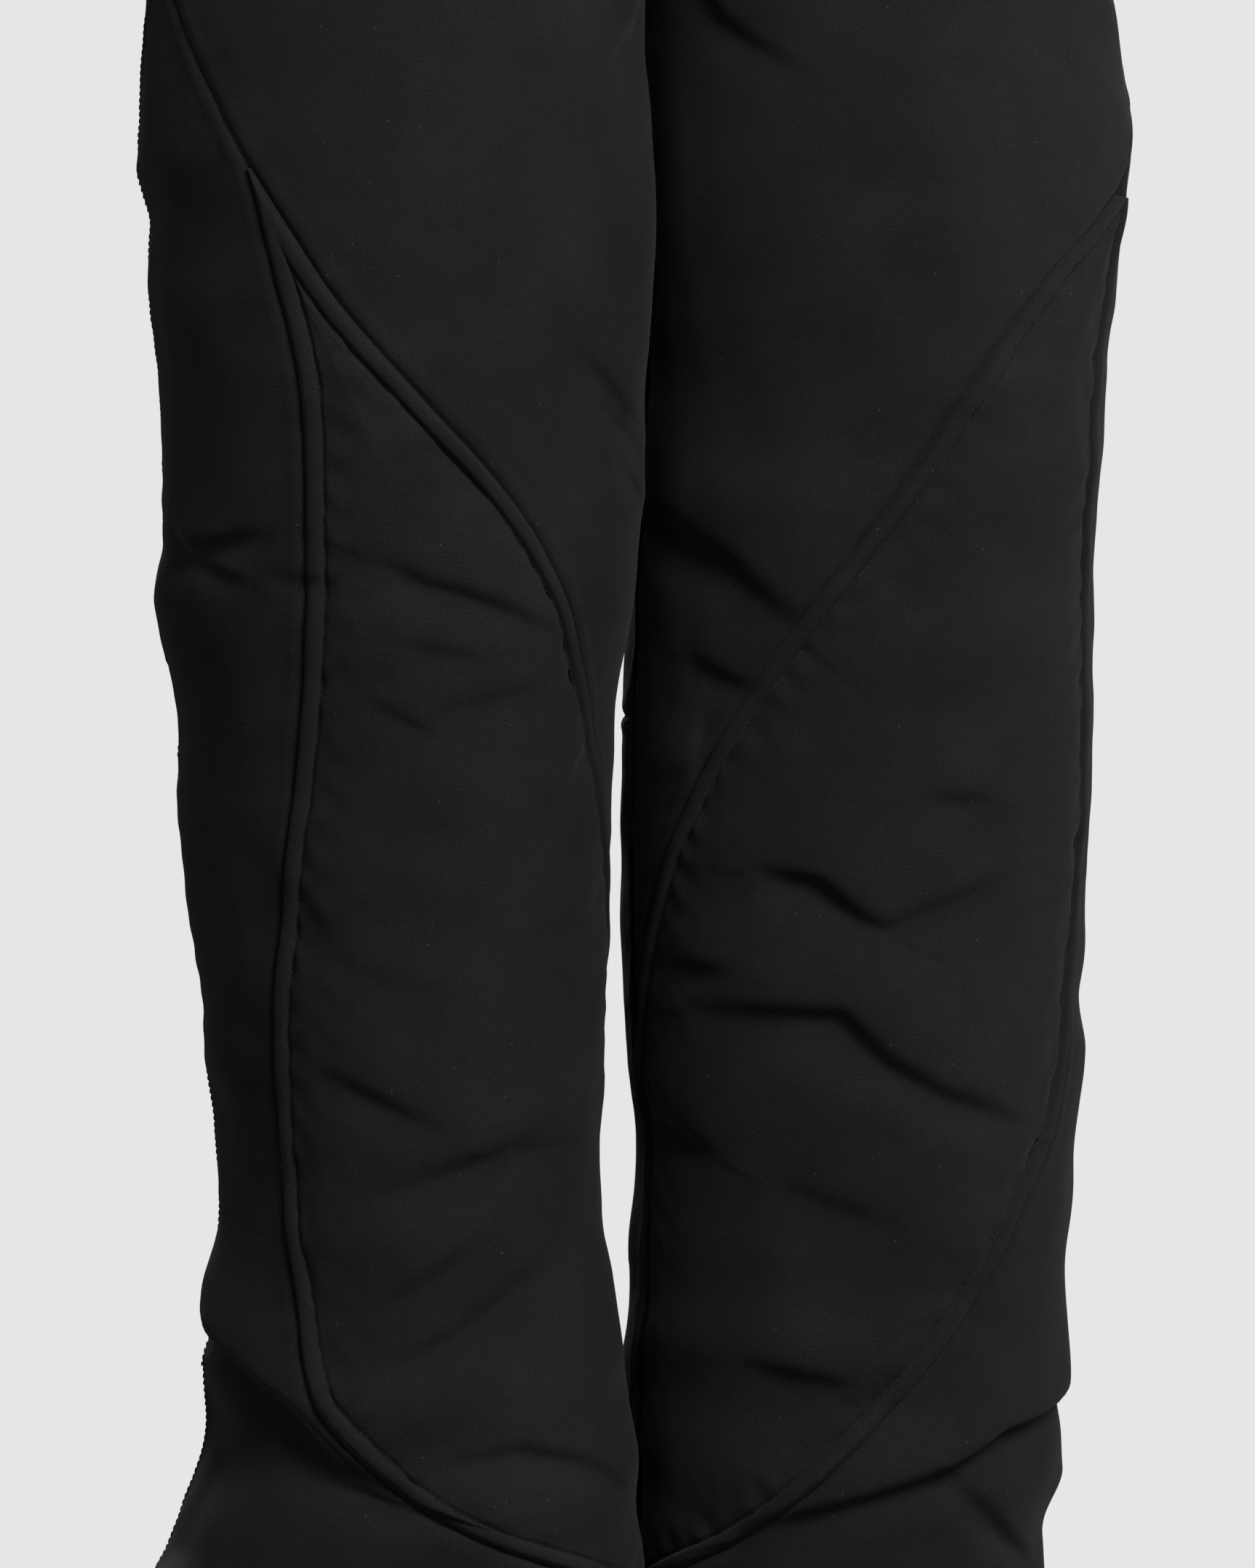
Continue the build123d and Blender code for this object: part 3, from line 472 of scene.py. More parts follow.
def by_length(points, normal):
    """Places a stitch pitch apart along a line, with their normals and directions."""
    run = np.concatenate([[0], np.cumsum(np.linalg.norm(np.diff(points, axis=0), axis=1))])
    at = np.arange(PITCH / 2, run[-1], PITCH)
    place = np.stack([np.interp(at, run, points[:, i]) for i in range(3)], axis=-1)
    n = np.stack([np.interp(at, run, normal[:, i]) for i in range(3)], axis=-1)
    ahead = np.stack([np.interp(at + 1, run, points[:, i]) for i in range(3)], axis=-1)
    return place, n, ahead - place


def grid_area(points):
    """Area of a grid of points, in square metres."""
    over, down = points[:-1, 1:] - points[:-1, :-1], points[1:, :-1] - points[:-1, :-1]
    return float(np.linalg.norm(np.cross(over, down), axis=-1).sum()) * MM * MM


def stitches(name, runs, body="root"):
    """Raised threads: one small rounded lozenge for each stitch."""
    rings, around = 5, 6
    s = np.linspace(-1, 1, rings)
    swell = np.sqrt(np.clip(1 - s**4, 0.05, 1))
    turn = np.arange(around) * 2 * math.pi / around
    verts, faces = [], []
    for place, n, way in runs:
        n = n / np.linalg.norm(n, axis=1, keepdims=True)
        way = way - n * (way * n).sum(1, keepdims=True)
        way = way / np.maximum(np.linalg.norm(way, axis=1, keepdims=True), 1e-6)
        wide = np.cross(n, way)
        for p, a, w, x in zip(place, n, way, wide):
            base = len(verts)
            for si, sw in zip(s, swell):
                for th in turn:
                    q = p + w * si * STITCH_LENGTH / 2 + x * math.cos(th) * sw * STITCH_WIDTH / 2
                    q = q + a * (math.sin(th) * sw * STITCH_HEIGHT + 0.1)
                    verts.append(q)
            for r in range(rings - 1):
                for j in range(around):
                    b, c = base + r * around, (j + 1) % around
                    faces.append((b + j, b + c, b + around + c, b + around + j))
            faces.append(tuple(base + j for j in range(around))[::-1])
            faces.append(tuple(base + (rings - 1) * around + j for j in range(around)))
    mesh = bpy.data.meshes.new(name)
    mesh.from_pydata((np.array(verts) * MM).tolist(), [], faces)
    mesh.polygons.foreach_set("use_smooth", np.ones(len(mesh.polygons), bool))
    mesh.materials.append(thread_fabric)
    obj = bpy.data.objects.new(name, mesh)
    bpy.context.scene.collection.objects.link(obj)
    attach(obj, body)


def slab(name, middle, normal, thickness, material, soft_edge=1.5, wrap=False):
    """A cloth layer, strap or patch: two faces round a middle surface, joined along thinned rims."""
    rows, cols = middle.shape[:2]
    down = np.concatenate([[0], np.cumsum(np.linalg.norm(np.diff(middle, axis=0), axis=-1).mean(1))])
    over = np.concatenate([[0], np.cumsum(np.linalg.norm(np.diff(middle, axis=1), axis=-1).mean(0))])
    rim = np.minimum(down, down[-1] - down)[:, None] + np.zeros((1, cols))
    if not wrap:
        rim = np.minimum(rim, np.minimum(over, over[-1] - over)[None, :])
    share = np.clip(rim / soft_edge, 0, 1)
    half = thickness / 2 * np.sqrt(np.clip(1 - (1 - share) ** 2, 0.06, 1))
    offset = normal * half[..., None]
    points = np.concatenate([(middle + offset).reshape(-1, 3), (middle - offset).reshape(-1, 3)])
    uv = np.stack(np.meshgrid(over * MM, down * MM), axis=-1).reshape(-1, 2)
    index = np.arange(rows * cols).reshape(rows, cols)
    right = np.roll(index, -1, axis=1) if wrap else index[:, 1:]
    left = index if wrap else index[:, :-1]
    face = np.stack([left[:-1], right[:-1], right[1:], left[1:]], axis=-1).reshape(-1, 4)
    under = face[:, ::-1] + rows * cols
    rims = [(left[0], right[0]), (right[-1], left[-1])]
    if not wrap:
        rims += [(index[1:, 0], index[:-1, 0]), (index[:-1, -1], index[1:, -1])]
    sides = [np.stack([q, p, p + rows * cols, q + rows * cols], axis=-1) for p, q in rims]
    quads = np.concatenate([face, under] + sides)
    obj = mesh_of(name, points, quads, np.concatenate([uv, uv]), material)
    tidy = bmesh.new()
    tidy.from_mesh(obj.data)
    bmesh.ops.recalc_face_normals(tidy, faces=tidy.faces)
    tidy.to_mesh(obj.data)
    tidy.free()
    flat = (float(over[-1]) * MM, float(down[-1]) * MM)
    return obj, flat, grid_area(middle)


# ---- materials --------------------------------------------------------------------------------------
def nodes_of(name):
    """A new material, its tree and its shader."""
    material = bpy.data.materials.new(name)
    material.use_nodes = True
    tree = material.node_tree
    return material, tree, tree.nodes["Principled BSDF"]


def add_node(tree, kind, where=None, **inputs):
    """A node with its input values, and its vector input linked where it takes one."""
    node = tree.nodes.new(kind)
    for key, value in inputs.items():
        node.inputs[key.replace("_", " ")].default_value = value
    if where is not None:
        tree.links.new(where, node.inputs["Vector"])
    return node


def maths(tree, operation, first, second):
    """The result of a sum or product of two sockets."""
    node = add_node(tree, "ShaderNodeMath")
    node.operation = operation
    tree.links.new(first, node.inputs[0])
    tree.links.new(second, node.inputs[1])
    return node.outputs[0]


def remap(tree, value, **ends):
    """A socket's value carried from one range to another."""
    node = add_node(tree, "ShaderNodeMapRange", **ends)
    tree.links.new(value, node.inputs["Value"])
    return node.outputs["Result"]


def bump_of(tree, height, shader, strength, distance):
    """Bump from a height socket."""
    bump = add_node(tree, "ShaderNodeBump", Strength=strength, Distance=distance)
    tree.links.new(height, bump.inputs["Height"])
    tree.links.new(bump.outputs["Normal"], shader.inputs["Normal"])


def shades(tree, factor, *stops):
    """A colour blended between two stops by a socket's value."""
    ramp = tree.nodes.new("ShaderNodeValToRGB")
    for element, (position, colour) in zip(ramp.color_ramp.elements, stops):
        element.position, element.color = position, (*colour, 1)
    tree.links.new(factor, ramp.inputs["Fac"])
    return ramp.outputs["Color"]


def cloth(name, dark, light, thread=0.7, weave_depth=0.35, rough=0.9, sheen=0.04, lint=True, ribs=False,
          coord="UV"):
    """Woven fabric: thread relief, faint shade changes, wear along raised edges and a little lint."""
    material, tree, shader = nodes_of(name)
    link = tree.links.new
    where = tree.nodes.new("ShaderNodeTexCoord").outputs[coord]
    waves = []
    for way in (("X",) if ribs else ("X", "Y")):
        wave = add_node(tree, "ShaderNodeTexWave", where, Scale=2 * math.pi / (20 * thread * MM),
                        Distortion=0.6, Detail=1.0)
        wave.bands_direction = way
        waves.append(wave.outputs["Fac"])
    weave = waves[0] if ribs else maths(tree, "MULTIPLY", *waves)
    grain = add_node(tree, "ShaderNodeTexNoise", where, Scale=620.0, Detail=3.0)
    bump_of(tree, maths(tree, "ADD", weave, grain.outputs["Fac"]), shader, weave_depth, 0.0004)
    shade = add_node(tree, "ShaderNodeTexNoise", where, Scale=14.0, Detail=6.0, Roughness=0.65)
    worn = tree.nodes.new("ShaderNodeNewGeometry").outputs["Pointiness"]
    wear = remap(tree, worn, From_Min=0.5, From_Max=0.58, To_Min=0.0, To_Max=0.35)
    fine = add_node(tree, "ShaderNodeTexNoise", where, Scale=900.0, Detail=2.0, Roughness=0.8)
    speckle = remap(tree, fine.outputs["Fac"], From_Min=0.3, From_Max=0.7, To_Min=-0.3, To_Max=0.3)
    total = maths(tree, "ADD", maths(tree, "ADD", shade.outputs["Fac"], wear), speckle)
    colour = shades(tree, total, (0.3, dark), (0.95, light))
    if lint:
        flecks = add_node(tree, "ShaderNodeTexVoronoi", where, Scale=85.0, Randomness=1.0)
        small = add_node(tree, "ShaderNodeMath")
        small.operation = "LESS_THAN"
        small.inputs[1].default_value = 0.035
        link(flecks.outputs["Distance"], small.inputs[0])
        over = tree.nodes.new("ShaderNodeMix")
        over.data_type = "RGBA"
        link(small.outputs[0], over.inputs["Factor"])
        link(colour, over.inputs["A"])
        over.inputs["B"].default_value = (*[v * 2.6 for v in light], 1)
        colour = over.outputs["Result"]
    link(colour, shader.inputs["Base Color"])
    shader.inputs["Roughness"].default_value = rough
    shader.inputs["Sheen Weight"].default_value = sheen
    shader.inputs["Sheen Roughness"].default_value = 0.45
    shader.inputs["Specular IOR Level"].default_value = 0.14
    return material


def hard(name, colour, rough, metallic=0.0, coat=0.0):
    """Enamelled metal or moulded plastic: fine pitting, uneven gloss and edges rubbed paler."""
    material, tree, shader = nodes_of(name)
    link = tree.links.new
    where = tree.nodes.new("ShaderNodeTexCoord").outputs["Object"]
    pits = add_node(tree, "ShaderNodeTexNoise", where, Scale=900.0, Detail=4.0)
    bump_of(tree, pits.outputs["Fac"], shader, 0.12, 0.0002)
    gloss = add_node(tree, "ShaderNodeTexNoise", where, Scale=160.0, Detail=3.0)
    span = remap(tree, gloss.outputs["Fac"], To_Min=rough - 0.08, To_Max=rough + 0.12)
    link(span, shader.inputs["Roughness"])
    worn = tree.nodes.new("ShaderNodeNewGeometry").outputs["Pointiness"]
    rubbed = shades(tree, worn, (0.5, colour), (0.62, [c * 3 for c in colour]))
    link(rubbed, shader.inputs["Base Color"])
    shader.inputs["Metallic"].default_value = metallic
    shader.inputs["Coat Weight"].default_value = coat
    return material


shell = cloth("shell_fabric", (0.0094, 0.0087, 0.0105), (0.0205, 0.0190, 0.0228))
knee_shell = cloth("knee_fabric", (0.0100, 0.0093, 0.0111), (0.0215, 0.0200, 0.0238))
lining = cloth("lining_fabric", (0.030, 0.031, 0.035), (0.046, 0.047, 0.052), thread=0.35, weave_depth=0.15,
               rough=0.6, sheen=0.05, lint=False)
tape = cloth("zip_tape_fabric", (0.012, 0.012, 0.013), (0.02, 0.02, 0.022), thread=0.9, weave_depth=0.5,
             lint=False)
elastic = cloth("elastic_ribs", (0.013, 0.013, 0.014), (0.024, 0.024, 0.026), thread=1.6, weave_depth=0.8,
                ribs=True, lint=False)
pile = cloth("fastener_pile", (0.010, 0.010, 0.011), (0.026, 0.026, 0.028), thread=0.5, weave_depth=1.0,
             sheen=0.12)
thread_fabric = cloth("sewing_thread", (0.0035, 0.003, 0.0038), (0.008, 0.007, 0.0085), thread=0.25, rough=0.6,
                      lint=False, coord="Object")
facing_cloth = cloth("facing_weave", (0.015, 0.015, 0.016), (0.024, 0.024, 0.026), thread=0.6, lint=False)
cuff_cloth = cloth("coated_weave", (0.022, 0.022, 0.024), (0.036, 0.036, 0.039), thread=0.45, weave_depth=0.2,
                   rough=0.55, lint=False)
enamel = hard("black_enamel", (0.02, 0.02, 0.021), 0.35, metallic=0.4, coat=0.3)
plastic = hard("black_moulding", (0.014, 0.014, 0.015), 0.42)
teeth = hard("moulded_teeth", (0.012, 0.012, 0.013), 0.3, coat=0.2)


# ---- camera, light and floor --------------------------------------------------------------------------
def look(azimuth, elevation, distance, target):
    """A place round the target, and the turn that faces it."""
    a, e = math.radians(azimuth), math.radians(elevation)
    spot = (math.sin(a) * math.cos(e) * distance + target[0],
            -math.cos(a) * math.cos(e) * distance + target[1], math.sin(e) * distance + target[2])
    return spot, (math.pi / 2 - e, 0, a)


VIEW_AZIMUTH, VIEW_DISTANCE, VIEW_TALL, VIEW_MIDDLE = -18.0, 3.0, 0.744, (0, 0, -0.673)
SENSOR = 24.0
camera_data = bpy.data.cameras.new("camera")
camera_data.sensor_fit = "VERTICAL"
camera_data.sensor_height = SENSOR
camera_data.lens = SENSOR * VIEW_DISTANCE / VIEW_TALL
camera = bpy.data.objects.new("camera", camera_data)
camera.location, camera.rotation_euler = look(VIEW_AZIMUTH, 0, VIEW_DISTANCE, VIEW_MIDDLE)
bpy.context.scene.collection.objects.link(camera)
bpy.context.scene.camera = camera


def softbox(name, azimuth, elevation, distance, size, power, colour=(1, 1, 1)):
    """A rectangular lamp aimed at the middle of the legs."""
    data = bpy.data.lights.new(name, "AREA")
    data.shape, data.size, data.size_y = "RECTANGLE", size[0], size[1]
    data.energy, data.color = power, colour
    lamp = bpy.data.objects.new(name, data)
    lamp.location, lamp.rotation_euler = look(azimuth, elevation, distance, (0, 0, -0.6))
    bpy.context.scene.collection.objects.link(lamp)


softbox("key", 12, 34, 3.2, (1.1, 1.4), 88)
softbox("fill", -40, 8, 3.4, (1.2, 2.2), 10, (1.0, 0.98, 0.95))
softbox("edge_right", 84, 14, 3.0, (0.6, 2.2), 22, (0.97, 0.98, 1.0))
softbox("edge_left", -112, 12, 3.2, (0.4, 2.2), 5, (1.0, 0.90, 0.82))
softbox("back", 160, 34, 3.4, (2.0, 2.0), 110)
world = bpy.data.worlds.new("world")
bpy.context.scene.world = world
world.use_nodes = True
world.node_tree.nodes["Background"].inputs["Color"].default_value = (0.79, 0.79, 0.79, 1)
world.node_tree.nodes["Background"].inputs["Strength"].default_value = 0.12
bpy.context.scene.view_settings.view_transform = "Standard"

# A round bowl of even light: a flat floor, a curved corner and a wall.
FLOOR, FLAT, CURVE, WALL = HEM - 12.0, 5200, 900, 5200
turn = np.linspace(0, 2 * math.pi, 97)[:-1]
corner = [(FLAT + CURVE * math.sin(a), CURVE - CURVE * math.cos(a)) for a in np.linspace(0.1, math.pi / 2, 12)]
profile = [(0.01, 0), (2500, 0), (FLAT, 0)] + corner + [(FLAT + CURVE, WALL)]
bowl = np.array([[(r * math.cos(a), r * math.sin(a), FLOOR + h) for a in turn] for r, h in profile])
floor_material, floor_tree, floor_shader = nodes_of("studio_floor")
floor_shader.inputs["Base Color"].default_value = (0, 0, 0, 1)
floor_shader.inputs["Specular IOR Level"].default_value = 0.0
floor_shader.inputs["Emission Color"].default_value = (0.791, 0.791, 0.791, 1)
floor_shader.inputs["Emission Strength"].default_value = 1.0
studio = mesh_from_grid("studio", bowl, np.zeros((*bowl.shape[:2], 2)), floor_material, closed=True)
studio.visible_diffuse = studio.visible_glossy = studio.visible_shadow = False


# ---- shell panels -----------------------------------------------------------------------------------
def dress(made, slot, *nodes, body="root", held="hung"):
    """Give a cloth piece its body and hide the nodes that it stands for; its slot is not used."""
    obj, flat, area = made
    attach(obj, body)
    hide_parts(*nodes)
    return obj


PANEL_TOP = -BAND_HEIGHT + 3.0
EDGE_LINE = 4.0
thread_runs = []
for side in ("right", "left"):
    front = Panel(side, PANEL_TOP, FRONT_TIP, front_edge(side), fly_edge(side, SLOT), ends=(False, False))
    leaf = Panel(side, KNEE_TOP, KNEE_BOTTOM, outer_line(side), lambda h, s=side: along(KNEE_SEAM[s], h),
                 out=0.6, padded=True, ends=(False, False))
    flank = Panel(side, APEX - 6, HEM, lambda h: along(SIDE_SEAM, h), outer_line(side), ends=(False, False))
    yoke = Panel(side, PANEL_TOP, YOKE_SEAM, fixed(BACK_INNER), back_edge(side), ends=(False, True))
    seat = Panel(side, YOKE_SEAM, KNEE_BACK, fixed(BACK_INNER), back_edge(side))
    calf = Panel(side, KNEE_BACK, HEM, fixed(BACK_INNER), back_edge(side), ends=(True, False))
    cuts = {"front_thigh": front, "side_panel": flank, "back_yoke": yoke, "back_thigh": seat,
            "back_calf": calf}
    for kind, panel in cuts.items():
        dress(panel.mesh(f"{kind}_cloth_{side}", shell), "shell", f"{kind}_{side}")
    knee, _, _ = leaf.mesh(f"knee_panel_cloth_{side}", knee_shell, row_step=1.9, col_step=1.8)
    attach(knee, "root")
    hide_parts(f"knee_panel_{side}", f"knee_wadding_{side}")
    thread_runs += [
        leaf.edge_points("start", QUILT_LINE), leaf.edge_points("stop", QUILT_LINE, top=KNEE_TOP - 16),
        calf.edge_points("stop", EDGE_LINE), seat.edge_points("stop", EDGE_LINE, top=APEX),
        seat.level_points(YOKE_SEAM - 4.0), seat.level_points(YOKE_SEAM - 10.0),
        front.edge_points("start", EDGE_LINE, bottom=APEX), yoke.edge_points("stop", EDGE_LINE),
        front.edge_points("stop", EDGE_LINE, bottom=FLY_BOTTOM), calf.level_points(HEM + 16),
        flank.level_points(HEM + 16), seat.edge_points("start", EDGE_LINE, bottom=CROTCH + 10),
    ]
stitches("topstitching", thread_runs)


# ---- linings, facings, bags and cuffs ---------------------------------------------------------------
FLY_LINING = 22.0
LINING_TOP, LINING_BOTTOM, LINING_INSET, LINING_THICK = -60, -1020, 8.4, 0.6
CUFF = [(-860.0, 111.0, 0.0, 76.0, 84.0), (-940.0, 110.0, 2.0, 74.0, 78.0), (-1010.0, 110.0, 2.0, 70.0, 74.0),
        (-1058.0, 110.0, 2.0, 66.0, 70.0)]
ELASTIC_TOP = -1036.0


def layer(side, top, bottom, start, stop, inset, step=6.0, wrinkle=0.0, seed=31):
    """Middle surface and normals of a cloth layer that hangs at an inset inside or outside the shell."""
    height = top + (bottom - top) * spread(max(int((top - bottom) / step), 6), 0.2)
    span = np.abs((stop(height) - start(height)) * mm_per_degree(side, height)).max()
    share = spread(max(int(span / step), 8))
    height, share = np.broadcast_arrays(height[:, None], share[None, :])
    angle = start(height) + (stop(height) - start(height)) * share
    normal = facing(side, height, angle, inset)
    smooth = skin(side, height, angle)
    out, sink = relief(side, height, angle, smooth)
    middle = skin(side, height, angle, inset)
    own = wrinkle * ripple(middle, seed, 12, 24, 70) * calm(side, height, angle, smooth)
    middle = middle + normal * (out + own)[..., None]
    middle[..., 2] -= sink
    middle[..., 0] = SIGN[side] * np.maximum(SIGN[side] * middle[..., 0], LAYER_CLEAR)
    return middle, normal


def ring(side, heights, outset, gather=0.0):
    """Middle surface and normals of a closed sleeve, with gathers that deepen towards its elastic."""
    turn = np.linspace(0, 2 * math.pi, 261)[:-1]
    heights = np.asarray(heights, float)[:, None]
    across, fore, wide, deep = (along(CUFF, heights, c) for c in range(1, 5))
    rng = np.random.default_rng(41)
    gathers = [np.sin(n * turn + rng.uniform(0, 2 * math.pi)) / math.sqrt(2) for n in (19, 27, 34, 43)]
    wave = sum(gathers)[None, :]
    run = (CUFF[0][0] - heights) / (CUFF[0][0] - CUFF[-1][0])
    grow = gather * np.sin(np.pi * np.clip(run * 1.04, 0, 1)) * (0.35 + run)
    wide, deep = wide + outset + grow * wave, deep + outset + grow * wave
    x = SIGN[side] * across + wide * np.cos(turn)
    y = fore + deep * np.sin(turn)
    out = np.stack([np.cos(turn) / wide, np.sin(turn) / deep, np.zeros_like(wide)], axis=-1)
    out = out / np.linalg.norm(out, axis=-1, keepdims=True)
    return np.stack([x, y, np.broadcast_to(heights, x.shape)], axis=-1), out


for side in ("right", "left"):
    edges = {"front": (fixed(-90), fly_edge(side, FLY_LINING)), "back": (fixed(BACK_INNER), fixed(-90))}
    for part, (start, stop) in edges.items():
        drop = layer(side, LINING_TOP, LINING_BOTTOM, start, stop, LINING_INSET, wrinkle=0.35)
        dress(slab(f"lining_{part}_cloth_{side}", *drop, LINING_THICK, lining), "lining",
              f"lining_{part}_{side}")
    hem = layer(side, -1048, HEM, fixed(BACK_INNER), fixed(INNER), 2.9, step=3.5)
    dress(slab(f"hem_facing_cloth_{side}", *hem, 1.0, facing_cloth), "facing", f"hem_facing_{side}")
    bag = layer(side, -60, -242, fixed(-44), fixed(20), 6.4, step=4.0, wrinkle=0.25, seed=32)
    dress(slab(f"pocket_bag_cloth_{side}", *bag, 1.0, lining), "lining", f"pocket_bag_{side}")
    cuff = ring(side, np.linspace(CUFF[0][0], CUFF[-1][0], 60), 0.4, gather=0.9)
    dress(slab(f"snow_cuff_cloth_{side}", *cuff, 0.7, cuff_cloth, wrap=True), "cuff", f"snow_cuff_{side}",
          held="gathered")
    band = ring(side, np.linspace(ELASTIC_TOP, CUFF[-1][0], 14), 1.9)
    dress(slab(f"cuff_elastic_cloth_{side}", *band, 1.4, elastic, wrap=True), "elastic",
          f"cuff_elastic_{side}", held="stretched")

# ---- waistband and its straps -----------------------------------------------------------------------
BAND_ROOT, BAND_END = -112.0, -72.0
STRAP_SPAN, PATCH_SPAN = (-9, -34), (-12, -31)
waist_runs = []
for side in ("right", "left"):
    around = fixed(BACK_INNER), fixed(INNER)
    outer_band = layer(side, 0, -BAND_HEIGHT, *around, 0.2, step=3.0)
    dress(slab(f"waistband_cloth_{side}", *outer_band, 2.0, shell), "shell", f"waistband_{side}")
    inner_band = layer(side, 0, -BAND_HEIGHT, *around, 2.1, step=3.5)
    dress(slab(f"waistband_lining_cloth_{side}", *inner_band, 1.0, lining), "lining",
          f"waistband_lining_{side}")
    strap = layer(side, *STRAP_SPAN, fixed(BAND_ROOT), fixed(BAND_END), -3.55, step=1.6)
    dress(slab(f"adjuster_tab_cloth_{side}", *strap, 1.3, shell), "shell", f"adjuster_tab_{side}",
          body=f"adjuster_{side}", held="laid")
    hooks = layer(side, *PATCH_SPAN, fixed(BAND_END - 22), fixed(BAND_END - 3), -2.45, step=1.6)
    dress(slab(f"hook_patch_cloth_{side}", *hooks, 0.7, pile), "touch_fastener", f"hook_patch_{side}",
          body=f"adjuster_{side}", held="laid")
    loops = layer(side, *PATCH_SPAN, fixed(BAND_ROOT + 4), fixed(BAND_END + 16), -1.25, step=1.6)
    dress(slab(f"loop_patch_cloth_{side}", *loops, 0.7, pile), "touch_fastener", f"loop_patch_{side}",
          held="laid")
    for line in (-3.0, -BAND_HEIGHT + 3.0):
        seam = layer(side, line, line - 0.1, *around, -0.8, step=1.0)
        waist_runs.append(by_length(seam[0][0], seam[1][0]))
    for line in (-11.0, -32.0):
        seam = layer(side, line, line - 0.1, fixed(BAND_ROOT + 2), fixed(BAND_END - 2), -4.2, step=1.0)
        stitches(f"adjuster_stitching_{side}_{int(-line)}", [by_length(seam[0][0], seam[1][0])],
                 body=f"adjuster_{side}")
anchors = []
for side in ("right", "left"):
    block = layer(side, *STRAP_SPAN, fixed(BAND_ROOT - 6), fixed(BAND_ROOT - 1), -2.55, step=1.2)
    anchors.append(slab(f"adjuster_anchor_{side}", *block, 3.3, shell))
stitches("waistband_stitching", waist_runs)

TAB_BACK, TAB_THICK, TAB_MIDDLE, TAB_HALF, TAB_CORNER = -111.5, 2.0, -31.0, 17.0, 8.0
TAB_LEFT, TAB_RIGHT, SNAP_X, SNAP_HOLE, TAB_STITCH = 26.0, -29.0, -17.0, 5.0, 3.0
FRONTWARD = np.array([0.0, -1.0, 0.0])


def together(name, made):
    """Several strips as one piece, with their flat widths side by side."""
    flat = sum(one[1][0] for one in made), max(one[1][1] for one in made)
    return joined(name, [one[0] for one in made]), flat, sum(one[2] for one in made)


def upright(name, left, right, corner, thickness, back, dish, body):
    """An upright strap across the front, with a rounded right end and a recess behind its snap."""
    step = 0.9
    x = np.linspace(left, right, int((left - right) / step))
    into = np.clip(right + corner - x, 0, corner)
    half = TAB_HALF - corner + np.sqrt(np.maximum(corner**2 - into**2, 0))
    z = TAB_MIDDLE + np.linspace(1, -1, int(2 * TAB_HALF / step))[:, None] * half[None, :]
    x = np.broadcast_to(x[None, :], z.shape)
    sunk = np.clip((SNAP_HOLE + 0.3 - np.hypot(x - SNAP_X, z - TAB_MIDDLE)) / 0.5, 0, 1) * dish
    thick = thickness - (thickness - 0.3) * sunk
    y = back - thickness + thick / 2
    middle = np.stack([x, y, z], axis=-1)
    normal = np.broadcast_to(FRONTWARD, middle.shape)
    made = slab(name, middle, normal, thick, shell)
    edge = np.array([(right + TAB_STITCH, z) for z in np.linspace(TAB_HALF - 9, 9 - TAB_HALF, 20)])
    rows = [np.array([(x, way * (TAB_HALF - TAB_STITCH)) for x in np.linspace(left - 2, right + corner, 60)])
            for way in (-1, 1)]
    runs = []
    for line in rows + ([edge] if dish else []):
        face = np.full(len(line), back - thickness)
        path = np.stack([line[:, 0], face, line[:, 1] + TAB_MIDDLE], axis=-1)
        runs.append(by_length(path, np.broadcast_to(FRONTWARD, path.shape)))
    stitches(f"{name}_stitching", runs, body=body)
    return made


dress(upright("waist_tab_cloth", TAB_LEFT, TAB_RIGHT, TAB_CORNER, TAB_THICK, TAB_BACK, 1.0, "waist_tab"),
      "shell", "waist_tab", body="waist_tab", held="laid")
anchors.append(upright("tab_anchor_cloth", 37.0, 27.8, 0.5, 2.6, TAB_BACK + 0.6, 0.0, "root"))
dress(together("strap_ends_cloth", anchors), "shell", "adjuster_anchors", "tab_anchor", held="laid")

LOOP_WIDTH, LOOP_HEIGHT, LOOP_THICK, LOOP_OFF, LOOP_CORNER = 11.0, 40.0, 1.2, 6.5, 2.4
loops = []
loop_runs = []
for side in ("right", "left"):
    for angle in (0.0, -180.0):
        base = skin(side, -BAND_HEIGHT / 2, angle, -1.1)
        up = skin(side, 0, angle, -0.8) - skin(side, -BAND_HEIGHT, angle, -0.8)
        up = up / np.linalg.norm(up)
        across = skin(side, -BAND_HEIGHT / 2, angle + 3) - skin(side, -BAND_HEIGHT / 2, angle - 3)
        out = np.cross(up, across)
        out = out / np.linalg.norm(out)
        out = out * (1 if out[1] * base[1] > 0 else -1)
        across = np.cross(up, out)
        high, far, bend = LOOP_HEIGHT / 2 - LOOP_THICK / 2, LOOP_OFF + LOOP_THICK / 2, LOOP_CORNER
        arc = np.linspace(0, math.pi / 2, 9)
        top = [(high - bend + bend * math.cos(a), far - bend + bend * math.sin(a)) for a in arc]
        front = [(v, far) for v in np.linspace(high - bend - 2, -high + bend + 2, 24)]
        path = np.array([(high, 0.2), (high, 1.6)] + top + front
                        + [(-u, v) for u, v in top[::-1]] + [(-high, 1.6), (-high, 0.2)])
        way = np.gradient(path, axis=0)
        way = way / np.linalg.norm(way, axis=1, keepdims=True)
        over = np.linspace(-LOOP_WIDTH / 2, LOOP_WIDTH / 2, 12)
        middle = (base + path[:, None, :1] * up + path[:, None, 1:] * out + over[None, :, None] * across)
        normal = np.broadcast_to((-way[:, 1:2] * up - -way[:, 0:1] * -out)[:, None, :], middle.shape)
        loops.append(slab(f"belt_loop_{side}_{int(-angle)}", middle, normal, LOOP_THICK, shell,
                          soft_edge=1.0))
        for edge in (-1, 1):
            face = middle[13:-13, 6] + out * LOOP_THICK / 2 + across * edge * 3.6
            loop_runs.append(by_length(face, np.broadcast_to(out, face.shape)))
